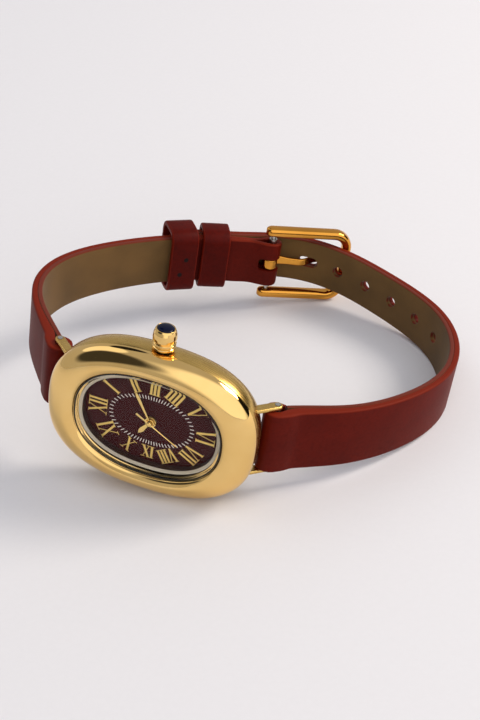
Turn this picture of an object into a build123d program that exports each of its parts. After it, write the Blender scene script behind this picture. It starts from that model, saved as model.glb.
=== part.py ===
"""Oval wristwatch on a two-piece leather strap, buckled and standing on its edge.

X runs from 12 o'clock to 6 o'clock, Y from the dial into the strap's loop, Z towards 3 o'clock and the crown.
The origin is the centre of the case back's outer face. Depths are measured from the dial's face to the wrist.
"""

from build123d import *
import math
import os

os.makedirs("parts", exist_ok=True)

# Case, in millimetres
case_half_length = 15.6
case_half_width = 11.55
case_oval_power = 2.5
case_edge_inset = 0.12
crease_rise = 0.3
band_depth = 3.5
band_end_draft = 0.6
cavity_half_length = 11.6
cavity_half_width = 8.3
fit_gap = 0.02
cut_overrun = 1.0

# Bezel and crystal
rim_half_length = 11.1
rim_half_width = 8.25
rim_oval_power = 2.3
rim_rise = 2.13
crest_rise = 2.75
rim_land = 0.06
gasket_wall = 0.17
crystal_thickness = 0.95
crystal_edge_round = 0.25

# Dial ring, dial and its markings
ring_half_length = 10.5
ring_half_width = 7.45
ring_height = 1.35
ring_face_width = 0.68
dial_thickness = 0.4
dial_edge_gap = 0.2
dial_hole_radius = 0.75
dial_foot_radius = 0.35
dial_foot_length = 0.7
print_height = 0.03
track_half_length = 6.1
track_half_width = 3.8
track_oval_power = 2.2
tick_length = 0.62
tick_width = 0.13
numeral_gap = 0.3
numeral_stroke = 0.42
numeral_hairline = 0.13

# Case back
back_thickness = 0.6
back_flange_margin = 0.9
back_lip_depth = 0.45
back_lip_wall = 0.35
back_gasket_depth = 0.22
back_gasket_width = 0.4
back_notch_length = 2.4
back_notch_depth = 0.3

# Lugs and spring bars
bar_reach = 16.5
bar_depth = 4.5
bar_tube_radius = 0.65
bar_tube_bore = 0.42
bar_tip_radius = 0.38
bar_tip_engagement = 0.7
bar_tip_travel = 0.75
bar_flange_radius = 0.6
bar_flange_width = 0.2
bar_spring_radius = 0.36
bar_hole_gap = 0.05
lug_thickness = 1.3
lug_eye_radius = 1.0
lug_side_gap = 0.15

# Crown and winding stem
stem_depth = 1.25
stem_radius = 0.4
stem_inner_reach = 2.7
stem_groove_radius = 0.15
stem_groove_width = 0.4
crown_radius = 1.72
crown_height = 3.15
crown_clear = 0.28
crown_pull = 0.8
crown_bore = 1.1
crown_bore_depth = 1.7
cabochon_radius = 1.22
cabochon_depth = 0.35
cabochon_rise = 0.3
tube_radius = 0.78
tube_bore = 0.46
tube_outside = 1.55
crown_seal_height = 0.4
clutch_radius = 0.65
clutch_length = 1.3
clutch_neck_radius = 0.48
lever_arm = 1.6
lever_pin_radius = 0.13
lever_thickness = 0.18
lever_width = 0.7

# Movement
plate_half_length = 9.0
plate_half_width = 6.5
plate_corner = 2.2
plate_front = 0.45
plate_back = 1.75
motion_recess_depth = 0.7
bridge_front = 2.95
bridge_thickness = 0.25
holder_back = 3.0
pivot_radius = 0.12
pivot_gap = 0.03
pillar_radius = 0.6
screw_radius = 0.35
screw_head_radius = 0.55
screw_head_height = 0.2
battery_radius = 2.9
battery_thickness = 1.65
battery_floor = 1.33
battery_gap = 0.1
battery_centre = (-5.3, -1.6)
clamp_thickness = 0.15
clamp_width = 1.8
magnet_radius = 0.55
magnet_height = 0.6
stator_hole_radius = 0.78
stator_thickness = 0.25
stator_block = 1.15
stator_limb = 1.1
coil_reach = 7.5
coil_half_length = 3.9
coil_radius = 0.75
core_half_length = 5.2
core_width = 0.8
core_thickness = 0.3
board_thickness = 0.2
resonator_radius = 0.7
resonator_length = 5.0
resonator_centre = (-5.6, 3.9)

# Gears: teeth, and the module as the pitch diameter per tooth
motion_module = 0.12
cannon_teeth = 10
minute_wheel_teeth = 30
minute_pinion_teeth = 8
hour_wheel_teeth = 32
centre_module = 0.072
centre_wheel_teeth = 60
third_pinion_teeth = 8
third_module = 0.068
third_wheel_teeth = 64
fourth_pinion_teeth = 8
fourth_module = 0.072
fourth_wheel_teeth = 60
intermediate_pinion_teeth = 10
intermediate_module = 0.07
intermediate_wheel_teeth = 50
rotor_pinion_teeth = 10
wheel_thickness = 0.14
pinion_margin = 0.04
minute_wheel_bearing = 200
third_bearing = -60
intermediate_bearing = 35
rotor_bearing = 20

# Hands, set at ten past ten and 35 seconds
hour_hand_angle = 304
minute_hand_angle = 60
second_hand_angle = 209
hour_hand_length = 2.9
hour_hand_width = 0.75
minute_hand_length = 5.2
minute_hand_width = 0.5
second_hand_length = 5.1
second_hand_tail = 2.4
second_hand_width = 0.2
hand_thickness = 0.1
second_shaft_radius = 0.11
centre_tube_bore = 0.15
centre_tube_radius = 0.24
cannon_sleeve_radius = 0.36
hour_pipe_bore = 0.4
hour_pipe_radius = 0.56
hour_hand_rise = 0.3
minute_hand_rise = 0.58
second_hand_rise = 0.86
hub_margin = 0.28

# Strap
strap_lug_half_width = 5.0
strap_buckle_half_width = 4.0
leather_thickness = 0.9
lining_thickness = 0.7
glue_gap = 0.02
loop_reach_six = 36.5
loop_reach_twelve = 26.8
loop_depth = 54.8
buckle_bar_reach = 1.6
buckle_bar_depth = 50.7
tail_gap = 0.1
tail_corner = 2.4
tail_past_bar = 17.3
hole_radius = 0.85
hole_spacing = 5.8
hole_count = 6
first_hole_past_bar = 7.5
tongue_hole_length = 3.2
fold_length = 10.5
tongue_slot_half_width = 1.1

# Keepers
keeper_length = 4.6
keeper_wall = 0.75
fixed_keeper_gap = 0.12
loose_keeper_gap = 0.32
fixed_keeper_from_bar = 7.4
keeper_spacing = 1.1
keeper_corner = 0.9

# Buckle
buckle_slope = 26
buckle_length = 12.7
buckle_half_opening = 5.6
buckle_bar_width = 1.15
buckle_thickness = 1.5
buckle_heel = 1.4
buckle_corner = 3.2
tongue_half_width = 0.92
tongue_waist_half_width = 0.6
tongue_waist_at = 3.4
tongue_thickness = 0.6
tongue_curl_gap = 0.04
tongue_overhang = 1.0
tongue_arch = 0.75

# Sizes worked out from the ones above
back_face_depth = band_depth + back_thickness
strap_thickness = leather_thickness + lining_thickness
lug_inner = strap_lug_half_width + lug_side_gap
half_strap = strap_thickness / 2

# Outline shares: how far out from the rim to the crease, against how high above the crease
dome_outer_shares = ((0, 1), (0.2, 0.975), (0.45, 0.9), (0.69, 0.76), (0.878, 0.58), (0.971, 0.42), (1, 0.32))
rim_inner_shares = ((0, 0), (0.52, 0.055), (0.85, 0.15), (1, 0.28))
band_bulge_shares = ((0, 0.45), (0.4, 0), (0.75, 0.3), (1, 1))
# Crown's outline as shares of its radius and height
crown_profile_shares = (
    (0.78, 0), (0.97, 0.03), (0.98, 0.13), (0.9, 0.17), (0.91, 0.22), (0.99, 0.27), (0.96, 0.33), (0.9, 0.36),
    (0.97, 0.44), (1, 0.58), (0.95, 0.78), (0.86, 0.92), (0.78, 1),
)
# Centre line of each strap as shares of the loop's reach and depth
strap_twelve_shares = (
    (0.81, 0.19), (0.937, 0.279), (1, 0.381), (0.978, 0.485), (0.869, 0.593),
    (0.702, 0.693), (0.552, 0.763), (0.388, 0.823), (0.2, 0.872),
)
strap_six_shares = (
    (0.547, 0.123), (0.696, 0.181), (0.808, 0.248), (0.893, 0.323), (0.959, 0.405), (1, 0.498),
    (1, 0.604), (0.953, 0.712), (0.863, 0.803), (0.73, 0.875), (0.571, 0.934), (0.393, 0.984), (0.186, 1),
)
# Tail of the strap as shares of its length past the bar, and of its lift over the leather round the bar
tail_shares = ((0, 1), (0.36, 0), (0.68, 0), (1, 0))
# Tongue's middle line: shares of the way to the buckle's end, and of the arch above its rest there
tongue_arch_shares = ((0.19, -0.35), (0.36, -0.85), (0.45, -0.85), (0.56, 0.15), (0.67, 0.95), (0.8, 0.75))
# Tooth outline as shares of the module, high and deep, and of the pitch, wide at root, pitch line and tip
wheel_tooth_shares = (0.8, 1.3, 0.6, 0.42, 0.16)
pinion_tooth_shares = (0.65, 1.45, 0.45, 0.36, 0.16)
oval_points_count = 36


def face_plane(depth):
    """Plane across the watch, parallel to the dial, facing the front."""
    return Plane(origin=(0, depth - back_face_depth, 0), x_dir=(1, 0, 0), z_dir=(0, -1, 0))


def loop_plane(height=0):
    """Plane of the strap's loop: local x towards 6 o'clock, local y is depth."""
    return Plane(origin=(0, -back_face_depth, height))


def stem_plane(height):
    """Plane square to the winding stem, at a height above the watch's middle."""
    return Plane(origin=(0, stem_depth - back_face_depth, height))


def oval_points(half_length, half_width, power):
    """Points of a squared-off oval."""
    points = []
    for step in range(oval_points_count):
        angle = 2 * math.pi * step / oval_points_count
        across, up = math.cos(angle), math.sin(angle)
        points.append((
            half_length * math.copysign(abs(across) ** (2 / power), across),
            half_width * math.copysign(abs(up) ** (2 / power), up),
        ))
    return points


def oval(depth, half_length, half_width, power=case_oval_power):
    """Oval face parallel to the dial, at a depth."""
    with BuildSketch(face_plane(depth)) as outline:
        with BuildLine():
            Spline(*oval_points(half_length, half_width, power), periodic=True)
        make_face()
    return outline.sketch


def disc(plane, radius, centre=(0, 0)):
    """Round face on a plane."""
    with BuildSketch(plane) as outline:
        with Locations(centre):
            Circle(radius)
    return outline.sketch


def polar(distance, bearing):
    """Place at a distance from the watch's middle, bearing in degrees from 6 o'clock to 3 o'clock."""
    return (distance * math.cos(math.radians(bearing)), distance * math.sin(math.radians(bearing)))


def beside(place, distance, bearing):
    """Place at a distance and bearing from another place."""
    step = polar(distance, bearing)
    return (place[0] + step[0], place[1] + step[1])


def gear(depth, teeth, module, shares, centre=(0, 0), phase=0):
    """Toothed face; the phase in degrees points to the middle of a tooth."""
    tall, deep, root_share, pitch_share, tip_share = shares
    pitch_radius = teeth * module / 2
    flank = (
        (pitch_radius - deep * module, root_share), (pitch_radius, pitch_share),
        (pitch_radius + tall * module, tip_share),
    )
    points = []
    for tooth in range(teeth):
        for side, corners in ((-1, flank), (1, flank[::-1])):
            for radius, share in corners:
                turn = phase + (tooth + side * share / 2) * 360 / teeth
                points.append(beside(centre, radius, turn))
    with BuildSketch(face_plane(depth)) as outline:
        with BuildLine():
            Polyline(*points, close=True)
        make_face()
    return outline.sketch


def meshing_phase(bearing, teeth):
    """Phase that puts a gap of the driven gear at the driving gear's tooth."""
    return bearing + 180 + 180 / teeth


def finish(built, node):
    """Label a finished piece and write it."""
    built.part.label = node
    export_step(built.part, f"parts/{node}.step")


# Middle case: a satin band with four lugs, hollow for the movement
with BuildPart() as case_band:
    bulge = [
        oval(
            -crease_rise + share * (band_depth + crease_rise),
            case_half_length - case_edge_inset - inset * band_end_draft,
            case_half_width - case_edge_inset - inset * band_end_draft,
        )
        for share, inset in band_bulge_shares
    ]
    loft(bulge)
    for side in (-1, 1):
        for top in (-1, 1):
            inner_face = lug_inner if top > 0 else -lug_inner - lug_thickness
            with BuildSketch(loop_plane(inner_face)):
                with Locations((side * bar_reach, bar_depth)):
                    Circle(lug_eye_radius)
                with Locations((side * (case_half_length - 2 * lug_eye_radius), band_depth - 1.6 * lug_eye_radius)):
                    Circle(lug_eye_radius)
                make_hull()
            extrude(amount=lug_thickness)
    extrude(oval(band_depth + cut_overrun, cavity_half_length, cavity_half_width),
            amount=band_depth + crease_rise + 2 * cut_overrun, mode=Mode.SUBTRACT)
    for side in (-1, 1):
        pin_circle = disc(loop_plane(), bar_tip_radius + bar_hole_gap, (side * bar_reach, bar_depth))
        extrude(pin_circle, amount=lug_inner + bar_tip_engagement + bar_hole_gap, both=True, mode=Mode.SUBTRACT)
    extrude(disc(stem_plane(0), tube_radius), amount=case_half_width + cut_overrun, mode=Mode.SUBTRACT)
finish(case_band, "case_band")

# Bezel: a fat domed ring with a funnel down to the crystal
dome_height = crest_rise - crease_rise


def bezel_oval(rise, share):
    """Oval between the rim and the crease, at a rise above the dial's face."""
    return oval(
        -rise,
        rim_half_length + share * (case_half_length - rim_half_length),
        rim_half_width + share * (case_half_width - rim_half_width),
        rim_oval_power + share * (case_oval_power - rim_oval_power),
    )


with BuildPart() as bezel:
    loft([bezel_oval(crease_rise + share * dome_height, out) for share, out in dome_outer_shares])
    loft([bezel_oval(rim_rise + share * (crest_rise - rim_rise), out) for share, out in rim_inner_shares],
         mode=Mode.SUBTRACT)
    extrude(oval(-fit_gap, cavity_half_length - fit_gap, cavity_half_width - fit_gap), amount=crease_rise)
    extrude(oval(-ring_height - fit_gap, rim_half_length - rim_land, rim_half_width - rim_land, rim_oval_power),
            amount=crest_rise, mode=Mode.SUBTRACT)
    extrude(oval(cut_overrun, ring_half_length + fit_gap, ring_half_width + fit_gap, rim_oval_power),
            amount=crest_rise + cut_overrun, mode=Mode.SUBTRACT)
finish(bezel, "bezel")

crystal_seat = -ring_height - fit_gap
crystal_half_length = rim_half_length - rim_land - 2 * fit_gap - gasket_wall
crystal_half_width = rim_half_width - rim_land - 2 * fit_gap - gasket_wall

with BuildPart() as crystal:
    extrude(oval(crystal_seat, crystal_half_length, crystal_half_width, rim_oval_power), amount=crystal_thickness)
    fillet(crystal.faces().sort_by(Axis.Y)[0].edges(), crystal_edge_round)
finish(crystal, "crystal")

with BuildPart() as crystal_gasket:
    gasket_height = rim_rise - ring_height - fit_gap
    gasket_margin = fit_gap + gasket_wall
    extrude(oval(crystal_seat, crystal_half_length + gasket_margin, crystal_half_width + gasket_margin,
                 rim_oval_power), amount=gasket_height)
    extrude(oval(crystal_seat, crystal_half_length + fit_gap, crystal_half_width + fit_gap, rim_oval_power),
            amount=gasket_height, mode=Mode.SUBTRACT)
finish(crystal_gasket, "crystal_gasket")

with BuildPart() as dial_ring:
    extrude(oval(0, ring_half_length, ring_half_width, rim_oval_power), amount=ring_height)
    extrude(oval(0, ring_half_length - ring_face_width, ring_half_width - ring_face_width, rim_oval_power),
            amount=ring_height, mode=Mode.SUBTRACT)
finish(dial_ring, "dial_ring")

# Dial with two feet that drop into the main plate
dial_feet = [
    (side * (plate_half_length - plate_corner / 2), side * (plate_half_width - plate_corner))
    for side in (-1, 1)
]

with BuildPart() as dial:
    extrude(oval(dial_thickness, cavity_half_length - dial_edge_gap, cavity_half_width - dial_edge_gap),
            amount=dial_thickness)
    for foot in dial_feet:
        extrude(disc(face_plane(dial_thickness + dial_foot_length), dial_foot_radius, foot),
                amount=dial_foot_length)
    extrude(disc(face_plane(dial_thickness), dial_hole_radius), amount=dial_thickness, mode=Mode.SUBTRACT)
finish(dial, "dial")


def oval_radius(bearing, half_length, half_width, power):
    """Distance from the middle to a squared-off oval, along a bearing."""
    across, up = (abs(part) for part in polar(1, bearing))
    return ((across / half_length) ** power + (up / half_width) ** power) ** (-1 / power)


def radial_plane(bearing, distance):
    """Plane on the dial whose local y points away from the middle and local x clockwise."""
    place = polar(distance, bearing)
    turn = polar(1, bearing - 90)
    return Plane(
        origin=(place[0], -back_face_depth, place[1]), x_dir=(turn[0], 0, turn[1]), z_dir=(0, -1, 0)
    )


with BuildPart() as minute_track:
    for minute in range(60):
        bearing = 180 - minute * 6
        middle = oval_radius(bearing, track_half_length, track_half_width, track_oval_power)
        with BuildSketch(radial_plane(bearing, middle)):
            Rectangle(tick_width, tick_length)
        extrude(amount=print_height)
finish(minute_track, "minute_track")


def stroke(plane, foot, head, width):
    """Upright or slanting stroke of a numeral with level ends, between two local places."""
    half = width / 2
    with BuildSketch(plane) as outline:
        with BuildLine():
            Polyline((foot[0] - half, foot[1]), (foot[0] + half, foot[1]),
                     (head[0] + half, head[1]), (head[0] - half, head[1]), close=True)
        make_face()
    return outline.sketch


hour_letters = ("XII", "I", "II", "III", "IIII", "V", "VI", "VII", "VIII", "IX", "X", "XI")
letter_shares = {"I": 0.26, "V": 0.62, "X": 0.62}
numeral_foot = numeral_gap + tick_length / 2

with BuildPart() as numerals:
    for hour, letters in enumerate(hour_letters):
        bearing = 180 - hour * 30
        foot = numeral_foot + oval_radius(bearing, track_half_length, track_half_width, track_oval_power)
        head = oval_radius(bearing, ring_half_length - ring_face_width, ring_half_width - ring_face_width,
                           rim_oval_power) - numeral_gap
        tall = head - foot
        plane = radial_plane(bearing, foot)
        squeeze = min(1, (numeral_stroke * 8) / (tall * sum(letter_shares[letter] for letter in letters)))
        place = -tall * squeeze * sum(letter_shares[letter] for letter in letters) / 2
        for letter in letters:
            wide = tall * squeeze * letter_shares[letter]
            middle = place + wide / 2
            lean = wide / 2 - numeral_stroke / 4
            if letter == "I":
                strokes = [((middle, 0), (middle, tall), numeral_stroke * squeeze)]
            elif letter == "V":
                strokes = [((middle, 0), (middle - lean, tall), numeral_stroke * squeeze),
                           ((middle, 0), (middle + lean, tall), numeral_hairline)]
            else:
                strokes = [((middle + lean, 0), (middle - lean, tall), numeral_stroke * squeeze),
                           ((middle - lean, 0), (middle + lean, tall), numeral_hairline)]
            for low, high, width in strokes:
                extrude(stroke(plane, low, high, width), amount=print_height)
            place += wide
finish(numerals, "numerals")

# Case back with a snap lip, a gasket in a groove and a notch to open it
back_half_length = cavity_half_length + back_flange_margin
back_half_width = cavity_half_width + back_flange_margin
gasket_outer_margin = (back_flange_margin + back_gasket_width) / 2

with BuildPart() as case_back:
    extrude(oval(back_face_depth, back_half_length, back_half_width), amount=back_thickness)
    extrude(oval(band_depth, cavity_half_length - fit_gap, cavity_half_width - fit_gap), amount=back_lip_depth)
    extrude(oval(band_depth, cavity_half_length - back_lip_wall, cavity_half_width - back_lip_wall),
            amount=back_lip_depth, mode=Mode.SUBTRACT)
    extrude(oval(band_depth + back_gasket_depth, cavity_half_length + gasket_outer_margin,
                 cavity_half_width + gasket_outer_margin)
            - oval(band_depth + back_gasket_depth, cavity_half_length + gasket_outer_margin - back_gasket_width,
                   cavity_half_width + gasket_outer_margin - back_gasket_width),
            amount=back_gasket_depth, mode=Mode.SUBTRACT)
    with BuildSketch(face_plane(band_depth + back_notch_depth)):
        with Locations((0, -back_half_width)):
            Rectangle(back_notch_length, back_notch_depth * 2)
    extrude(amount=back_notch_depth, mode=Mode.SUBTRACT)
finish(case_back, "case_back")

with BuildPart() as back_gasket:
    gasket_reach = gasket_outer_margin - fit_gap
    gasket_face = band_depth + back_gasket_depth
    extrude(oval(gasket_face, cavity_half_length + gasket_reach, cavity_half_width + gasket_reach),
            amount=back_gasket_depth)
    gasket_reach = gasket_outer_margin - back_gasket_width + fit_gap
    extrude(oval(gasket_face, cavity_half_length + gasket_reach, cavity_half_width + gasket_reach),
            amount=back_gasket_depth, mode=Mode.SUBTRACT)
finish(back_gasket, "back_gasket")

# Crown, its stone, seal, tube and stem, on one axis
crown_base = case_half_width + crown_clear
crown_top = crown_base + crown_height

with BuildPart() as crown:
    with BuildSketch(Plane(origin=stem_plane(crown_base).origin, x_dir=(1, 0, 0), z_dir=(0, -1, 0))):
        with BuildLine():
            Polyline((0, 0), *[(crown_radius * out, crown_height * up) for out, up in crown_profile_shares],
                     (0, crown_height), close=True)
        make_face()
    revolve(axis=Axis((0, stem_depth - back_face_depth, 0), (0, 0, 1)))
    extrude(disc(stem_plane(crown_base), crown_bore), amount=crown_bore_depth, mode=Mode.SUBTRACT)
    extrude(disc(stem_plane(crown_top - cabochon_depth), cabochon_radius + fit_gap), amount=cabochon_depth,
            mode=Mode.SUBTRACT)
    extrude(disc(stem_plane(crown_base), stem_radius + fit_gap), amount=crown_height - 2 * cabochon_depth,
            mode=Mode.SUBTRACT)
finish(crown, "crown")

with BuildPart() as crown_cabochon:
    extrude(disc(stem_plane(crown_top - cabochon_depth), cabochon_radius),
            amount=cabochon_depth + cabochon_rise)
    fillet(crown_cabochon.faces().sort_by(Axis.Z)[-1].edges(), cabochon_rise)
finish(crown_cabochon, "crown_cabochon")

with BuildPart() as crown_seal:
    seal_floor = crown_base + crown_seal_height / 2
    extrude(disc(stem_plane(seal_floor), crown_bore - fit_gap), amount=crown_seal_height - fit_gap)
    extrude(disc(stem_plane(seal_floor), tube_radius + fit_gap), amount=crown_seal_height, mode=Mode.SUBTRACT)
finish(crown_seal, "crown_seal")

with BuildPart() as crown_tube:
    tube_start = cavity_half_width
    tube_length = crown_base + tube_outside - tube_start
    extrude(disc(stem_plane(tube_start), tube_radius - fit_gap / 2), amount=tube_length)
    extrude(disc(stem_plane(tube_start), tube_bore), amount=tube_length, mode=Mode.SUBTRACT)
finish(crown_tube, "crown_tube")

# The stem's groove lies where the setting lever's pin sits with the crown pushed in
lever_pivot = (lever_arm + (stem_radius + stem_groove_radius + lever_pin_radius) / 2,
               plate_half_width - crown_pull - lever_width / 4)
groove_height = lever_pivot[1] - crown_pull / 2
clutch_start = stem_inner_reach + 2 * lever_pin_radius

with BuildPart() as stem:
    stem_end = crown_top - 2 * cabochon_depth - fit_gap
    extrude(disc(stem_plane(stem_inner_reach), stem_radius), amount=stem_end - stem_inner_reach)
    extrude(disc(stem_plane(groove_height - stem_groove_width / 2), stem_radius)
            - disc(stem_plane(groove_height - stem_groove_width / 2), stem_groove_radius),
            amount=stem_groove_width, mode=Mode.SUBTRACT)
finish(stem, "stem")

with BuildPart() as sliding_pinion:
    neck_start = clutch_start + clutch_length / 3
    extrude(disc(stem_plane(clutch_start), clutch_radius), amount=clutch_length)
    extrude(disc(stem_plane(neck_start), clutch_radius) - disc(stem_plane(neck_start), clutch_neck_radius),
            amount=clutch_length / 3, mode=Mode.SUBTRACT)
    extrude(disc(stem_plane(clutch_start), stem_radius + fit_gap / 2), amount=clutch_length, mode=Mode.SUBTRACT)
finish(sliding_pinion, "sliding_pinion")

# Gear places: the motion work in front of the plate, the train behind it
minute_wheel_place = polar((cannon_teeth + minute_wheel_teeth) * motion_module / 2, minute_wheel_bearing)
third_place = polar((centre_wheel_teeth + third_pinion_teeth) * centre_module / 2, third_bearing)
intermediate_distance = (fourth_wheel_teeth + intermediate_pinion_teeth) * fourth_module / 2
intermediate_place = polar(intermediate_distance, intermediate_bearing)
rotor_distance = (intermediate_wheel_teeth + rotor_pinion_teeth) * intermediate_module / 2
rotor_place = beside(intermediate_place, rotor_distance, rotor_bearing)
pillars = (
    (plate_half_length * 0.38, -plate_half_width * 0.77),
    (-plate_half_length * 0.21, plate_half_width * 0.55),
    (-plate_half_length * 0.17, -plate_half_width * 0.71),
)
lever_face = plate_back + 2 * pivot_gap
train_gap = (bridge_front - plate_back - 4 * wheel_thickness) / 5
centre_layer = plate_back + train_gap + wheel_thickness
third_layer = centre_layer + train_gap + wheel_thickness
fourth_layer = third_layer + train_gap + wheel_thickness
intermediate_layer = fourth_layer + train_gap + wheel_thickness
hour_layer = plate_front + pivot_gap + wheel_thickness
minute_layer = plate_front + motion_recess_depth - pivot_gap

with BuildPart() as main_plate:
    plate_thickness = plate_back - plate_front
    with BuildSketch(face_plane(plate_back)):
        RectangleRounded(plate_half_length * 2, plate_half_width * 2, plate_corner)
    extrude(amount=plate_thickness)
    for place, teeth in (((0, 0), hour_wheel_teeth), (minute_wheel_place, minute_wheel_teeth)):
        recess_face = face_plane(plate_front + motion_recess_depth)
        extrude(disc(recess_face, (teeth / 2 + 1) * motion_module + battery_gap, place),
                amount=motion_recess_depth, mode=Mode.SUBTRACT)
    extrude(disc(face_plane(plate_back), centre_tube_radius + pivot_gap), amount=plate_thickness,
            mode=Mode.SUBTRACT)
    for place in (minute_wheel_place, third_place, intermediate_place, rotor_place, lever_pivot):
        extrude(disc(face_plane(plate_back), pivot_radius + pivot_gap, place), amount=plate_thickness,
                mode=Mode.SUBTRACT)
    for place in pillars:
        extrude(disc(face_plane(plate_back), screw_radius, place), amount=plate_thickness, mode=Mode.SUBTRACT)
    for place in dial_feet:
        extrude(disc(face_plane(plate_back), dial_foot_radius + fit_gap, place), amount=plate_thickness,
                mode=Mode.SUBTRACT)
    extrude(disc(face_plane(plate_back), battery_radius + battery_gap, battery_centre),
            amount=plate_back - battery_floor, mode=Mode.SUBTRACT)
    with BuildSketch(face_plane(plate_back)):
        with Locations((0, (plate_half_width + stem_inner_reach) / 2)):
            Rectangle(2 * (stem_radius + 2 * lever_pin_radius), plate_half_width - stem_inner_reach + battery_gap)
    extrude(amount=plate_back - stem_depth + stem_radius + battery_gap, mode=Mode.SUBTRACT)
    with BuildSketch(face_plane(plate_back)):
        with Locations((0, clutch_start + (clutch_length + crown_pull) / 2)):
            Rectangle(2 * (clutch_radius + battery_gap), clutch_length + crown_pull + 2 * battery_gap)
    extrude(amount=plate_back - stem_depth + clutch_radius + pivot_gap, mode=Mode.SUBTRACT)
    with BuildSketch(face_plane(plate_back)):
        with Locations((coil_reach, 0)):
            Rectangle(2 * (coil_radius + battery_gap), 2 * (coil_half_length + battery_gap))
    extrude(amount=coil_radius - stator_thickness, mode=Mode.SUBTRACT)
    with BuildSketch(face_plane(plate_back)):
        with Locations(resonator_centre):
            Rectangle(resonator_length + battery_gap, 2 * resonator_radius + battery_gap)
    extrude(amount=resonator_radius, mode=Mode.SUBTRACT)
    extrude(disc(face_plane(plate_back), magnet_radius + battery_gap, rotor_place), amount=pivot_gap * 2,
            mode=Mode.SUBTRACT)
finish(main_plate, "main_plate")

with BuildPart() as movement_holder:
    holder_front = plate_front - pivot_gap
    extrude(oval(holder_back, cavity_half_length - fit_gap, cavity_half_width - fit_gap),
            amount=holder_back - holder_front)
    with BuildSketch(face_plane(holder_back)):
        RectangleRounded(2 * (plate_half_length + fit_gap), 2 * (plate_half_width + fit_gap), plate_corner)
    extrude(amount=holder_back - holder_front, mode=Mode.SUBTRACT)
    with BuildSketch(face_plane(stem_depth + stem_radius + battery_gap)):
        with Locations((0, cavity_half_width)):
            Rectangle(2 * (stem_radius + battery_gap), 2 * (cavity_half_width - plate_half_width) + cut_overrun)
    extrude(amount=2 * (stem_radius + battery_gap), mode=Mode.SUBTRACT)
finish(movement_holder, "movement_holder")

with BuildPart() as train_bridge:
    with BuildSketch(face_plane(bridge_front + bridge_thickness)):
        with Locations(*pillars, rotor_place, intermediate_place):
            Circle(pillar_radius)
        make_hull()
    extrude(amount=bridge_thickness)
    for place in pillars:
        extrude(disc(face_plane(bridge_front), pillar_radius, place), amount=bridge_front - plate_back)
    for place in pillars:
        extrude(disc(face_plane(bridge_front + bridge_thickness), screw_radius + pivot_gap, place),
                amount=bridge_front + bridge_thickness - plate_back, mode=Mode.SUBTRACT)
    for place in ((0, 0), third_place, intermediate_place, rotor_place):
        extrude(disc(face_plane(bridge_front + bridge_thickness), pivot_radius + pivot_gap, place),
                amount=bridge_thickness, mode=Mode.SUBTRACT)
finish(train_bridge, "train_bridge")

with BuildPart() as movement_screws:
    bridge_back = bridge_front + bridge_thickness
    for place in pillars:
        extrude(disc(face_plane(bridge_back + screw_head_height), screw_head_radius, place),
                amount=screw_head_height)
        extrude(disc(face_plane(bridge_back), screw_radius - fit_gap, place), amount=bridge_back - stem_depth)
        with BuildSketch(face_plane(bridge_back + screw_head_height)):
            with Locations(place):
                Rectangle(2 * screw_head_radius, screw_head_height / 2)
        extrude(amount=screw_head_height / 2, mode=Mode.SUBTRACT)
finish(movement_screws, "movement_screws")

# Minute arbor: the centre wheel's tube and the cannon pinion on it
cannon_front = -minute_hand_rise - hand_thickness
with BuildPart() as centre_wheel:
    tube_front = cannon_front - fit_gap
    extrude(gear(centre_layer, centre_wheel_teeth, centre_module, wheel_tooth_shares, phase=third_bearing),
            amount=wheel_thickness)
    extrude(disc(face_plane(centre_layer), centre_tube_radius), amount=centre_layer - tube_front)
    extrude(disc(face_plane(centre_layer), centre_tube_bore), amount=centre_layer - tube_front,
            mode=Mode.SUBTRACT)
finish(centre_wheel, "centre_wheel")

with BuildPart() as cannon_pinion:
    leaf_length = wheel_thickness + 2 * pinion_margin
    extrude(gear(minute_layer + pinion_margin - pivot_gap, cannon_teeth, motion_module, pinion_tooth_shares,
                 phase=meshing_phase(minute_wheel_bearing + 180, cannon_teeth)), amount=leaf_length)
    sleeve_start = minute_layer + pinion_margin - pivot_gap
    extrude(disc(face_plane(sleeve_start), cannon_sleeve_radius), amount=sleeve_start - cannon_front)
    extrude(disc(face_plane(sleeve_start), centre_tube_radius + fit_gap / 2),
            amount=sleeve_start - cannon_front, mode=Mode.SUBTRACT)
finish(cannon_pinion, "cannon_pinion")

with BuildPart() as minute_wheel:
    wheel_back = minute_layer - pivot_gap
    pinion_front = hour_layer - wheel_thickness - pinion_margin + pivot_gap / 2
    extrude(gear(wheel_back, minute_wheel_teeth, motion_module, wheel_tooth_shares, minute_wheel_place,
                 phase=minute_wheel_bearing + 180), amount=wheel_thickness)
    extrude(gear(wheel_back, minute_pinion_teeth, motion_module, pinion_tooth_shares, minute_wheel_place,
                 phase=meshing_phase(minute_wheel_bearing, minute_pinion_teeth)), amount=wheel_back - pinion_front)
    extrude(disc(face_plane(plate_back), pivot_radius, minute_wheel_place), amount=plate_back - pinion_front)
finish(minute_wheel, "minute_wheel")

with BuildPart() as hour_wheel:
    pipe_front = -hour_hand_rise - hand_thickness
    extrude(gear(hour_layer, hour_wheel_teeth, motion_module, wheel_tooth_shares, phase=minute_wheel_bearing),
            amount=wheel_thickness)
    extrude(disc(face_plane(hour_layer), hour_pipe_radius), amount=hour_layer - pipe_front)
    extrude(disc(face_plane(hour_layer), hour_pipe_bore), amount=hour_layer - pipe_front, mode=Mode.SUBTRACT)
finish(hour_wheel, "hour_wheel")


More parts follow.
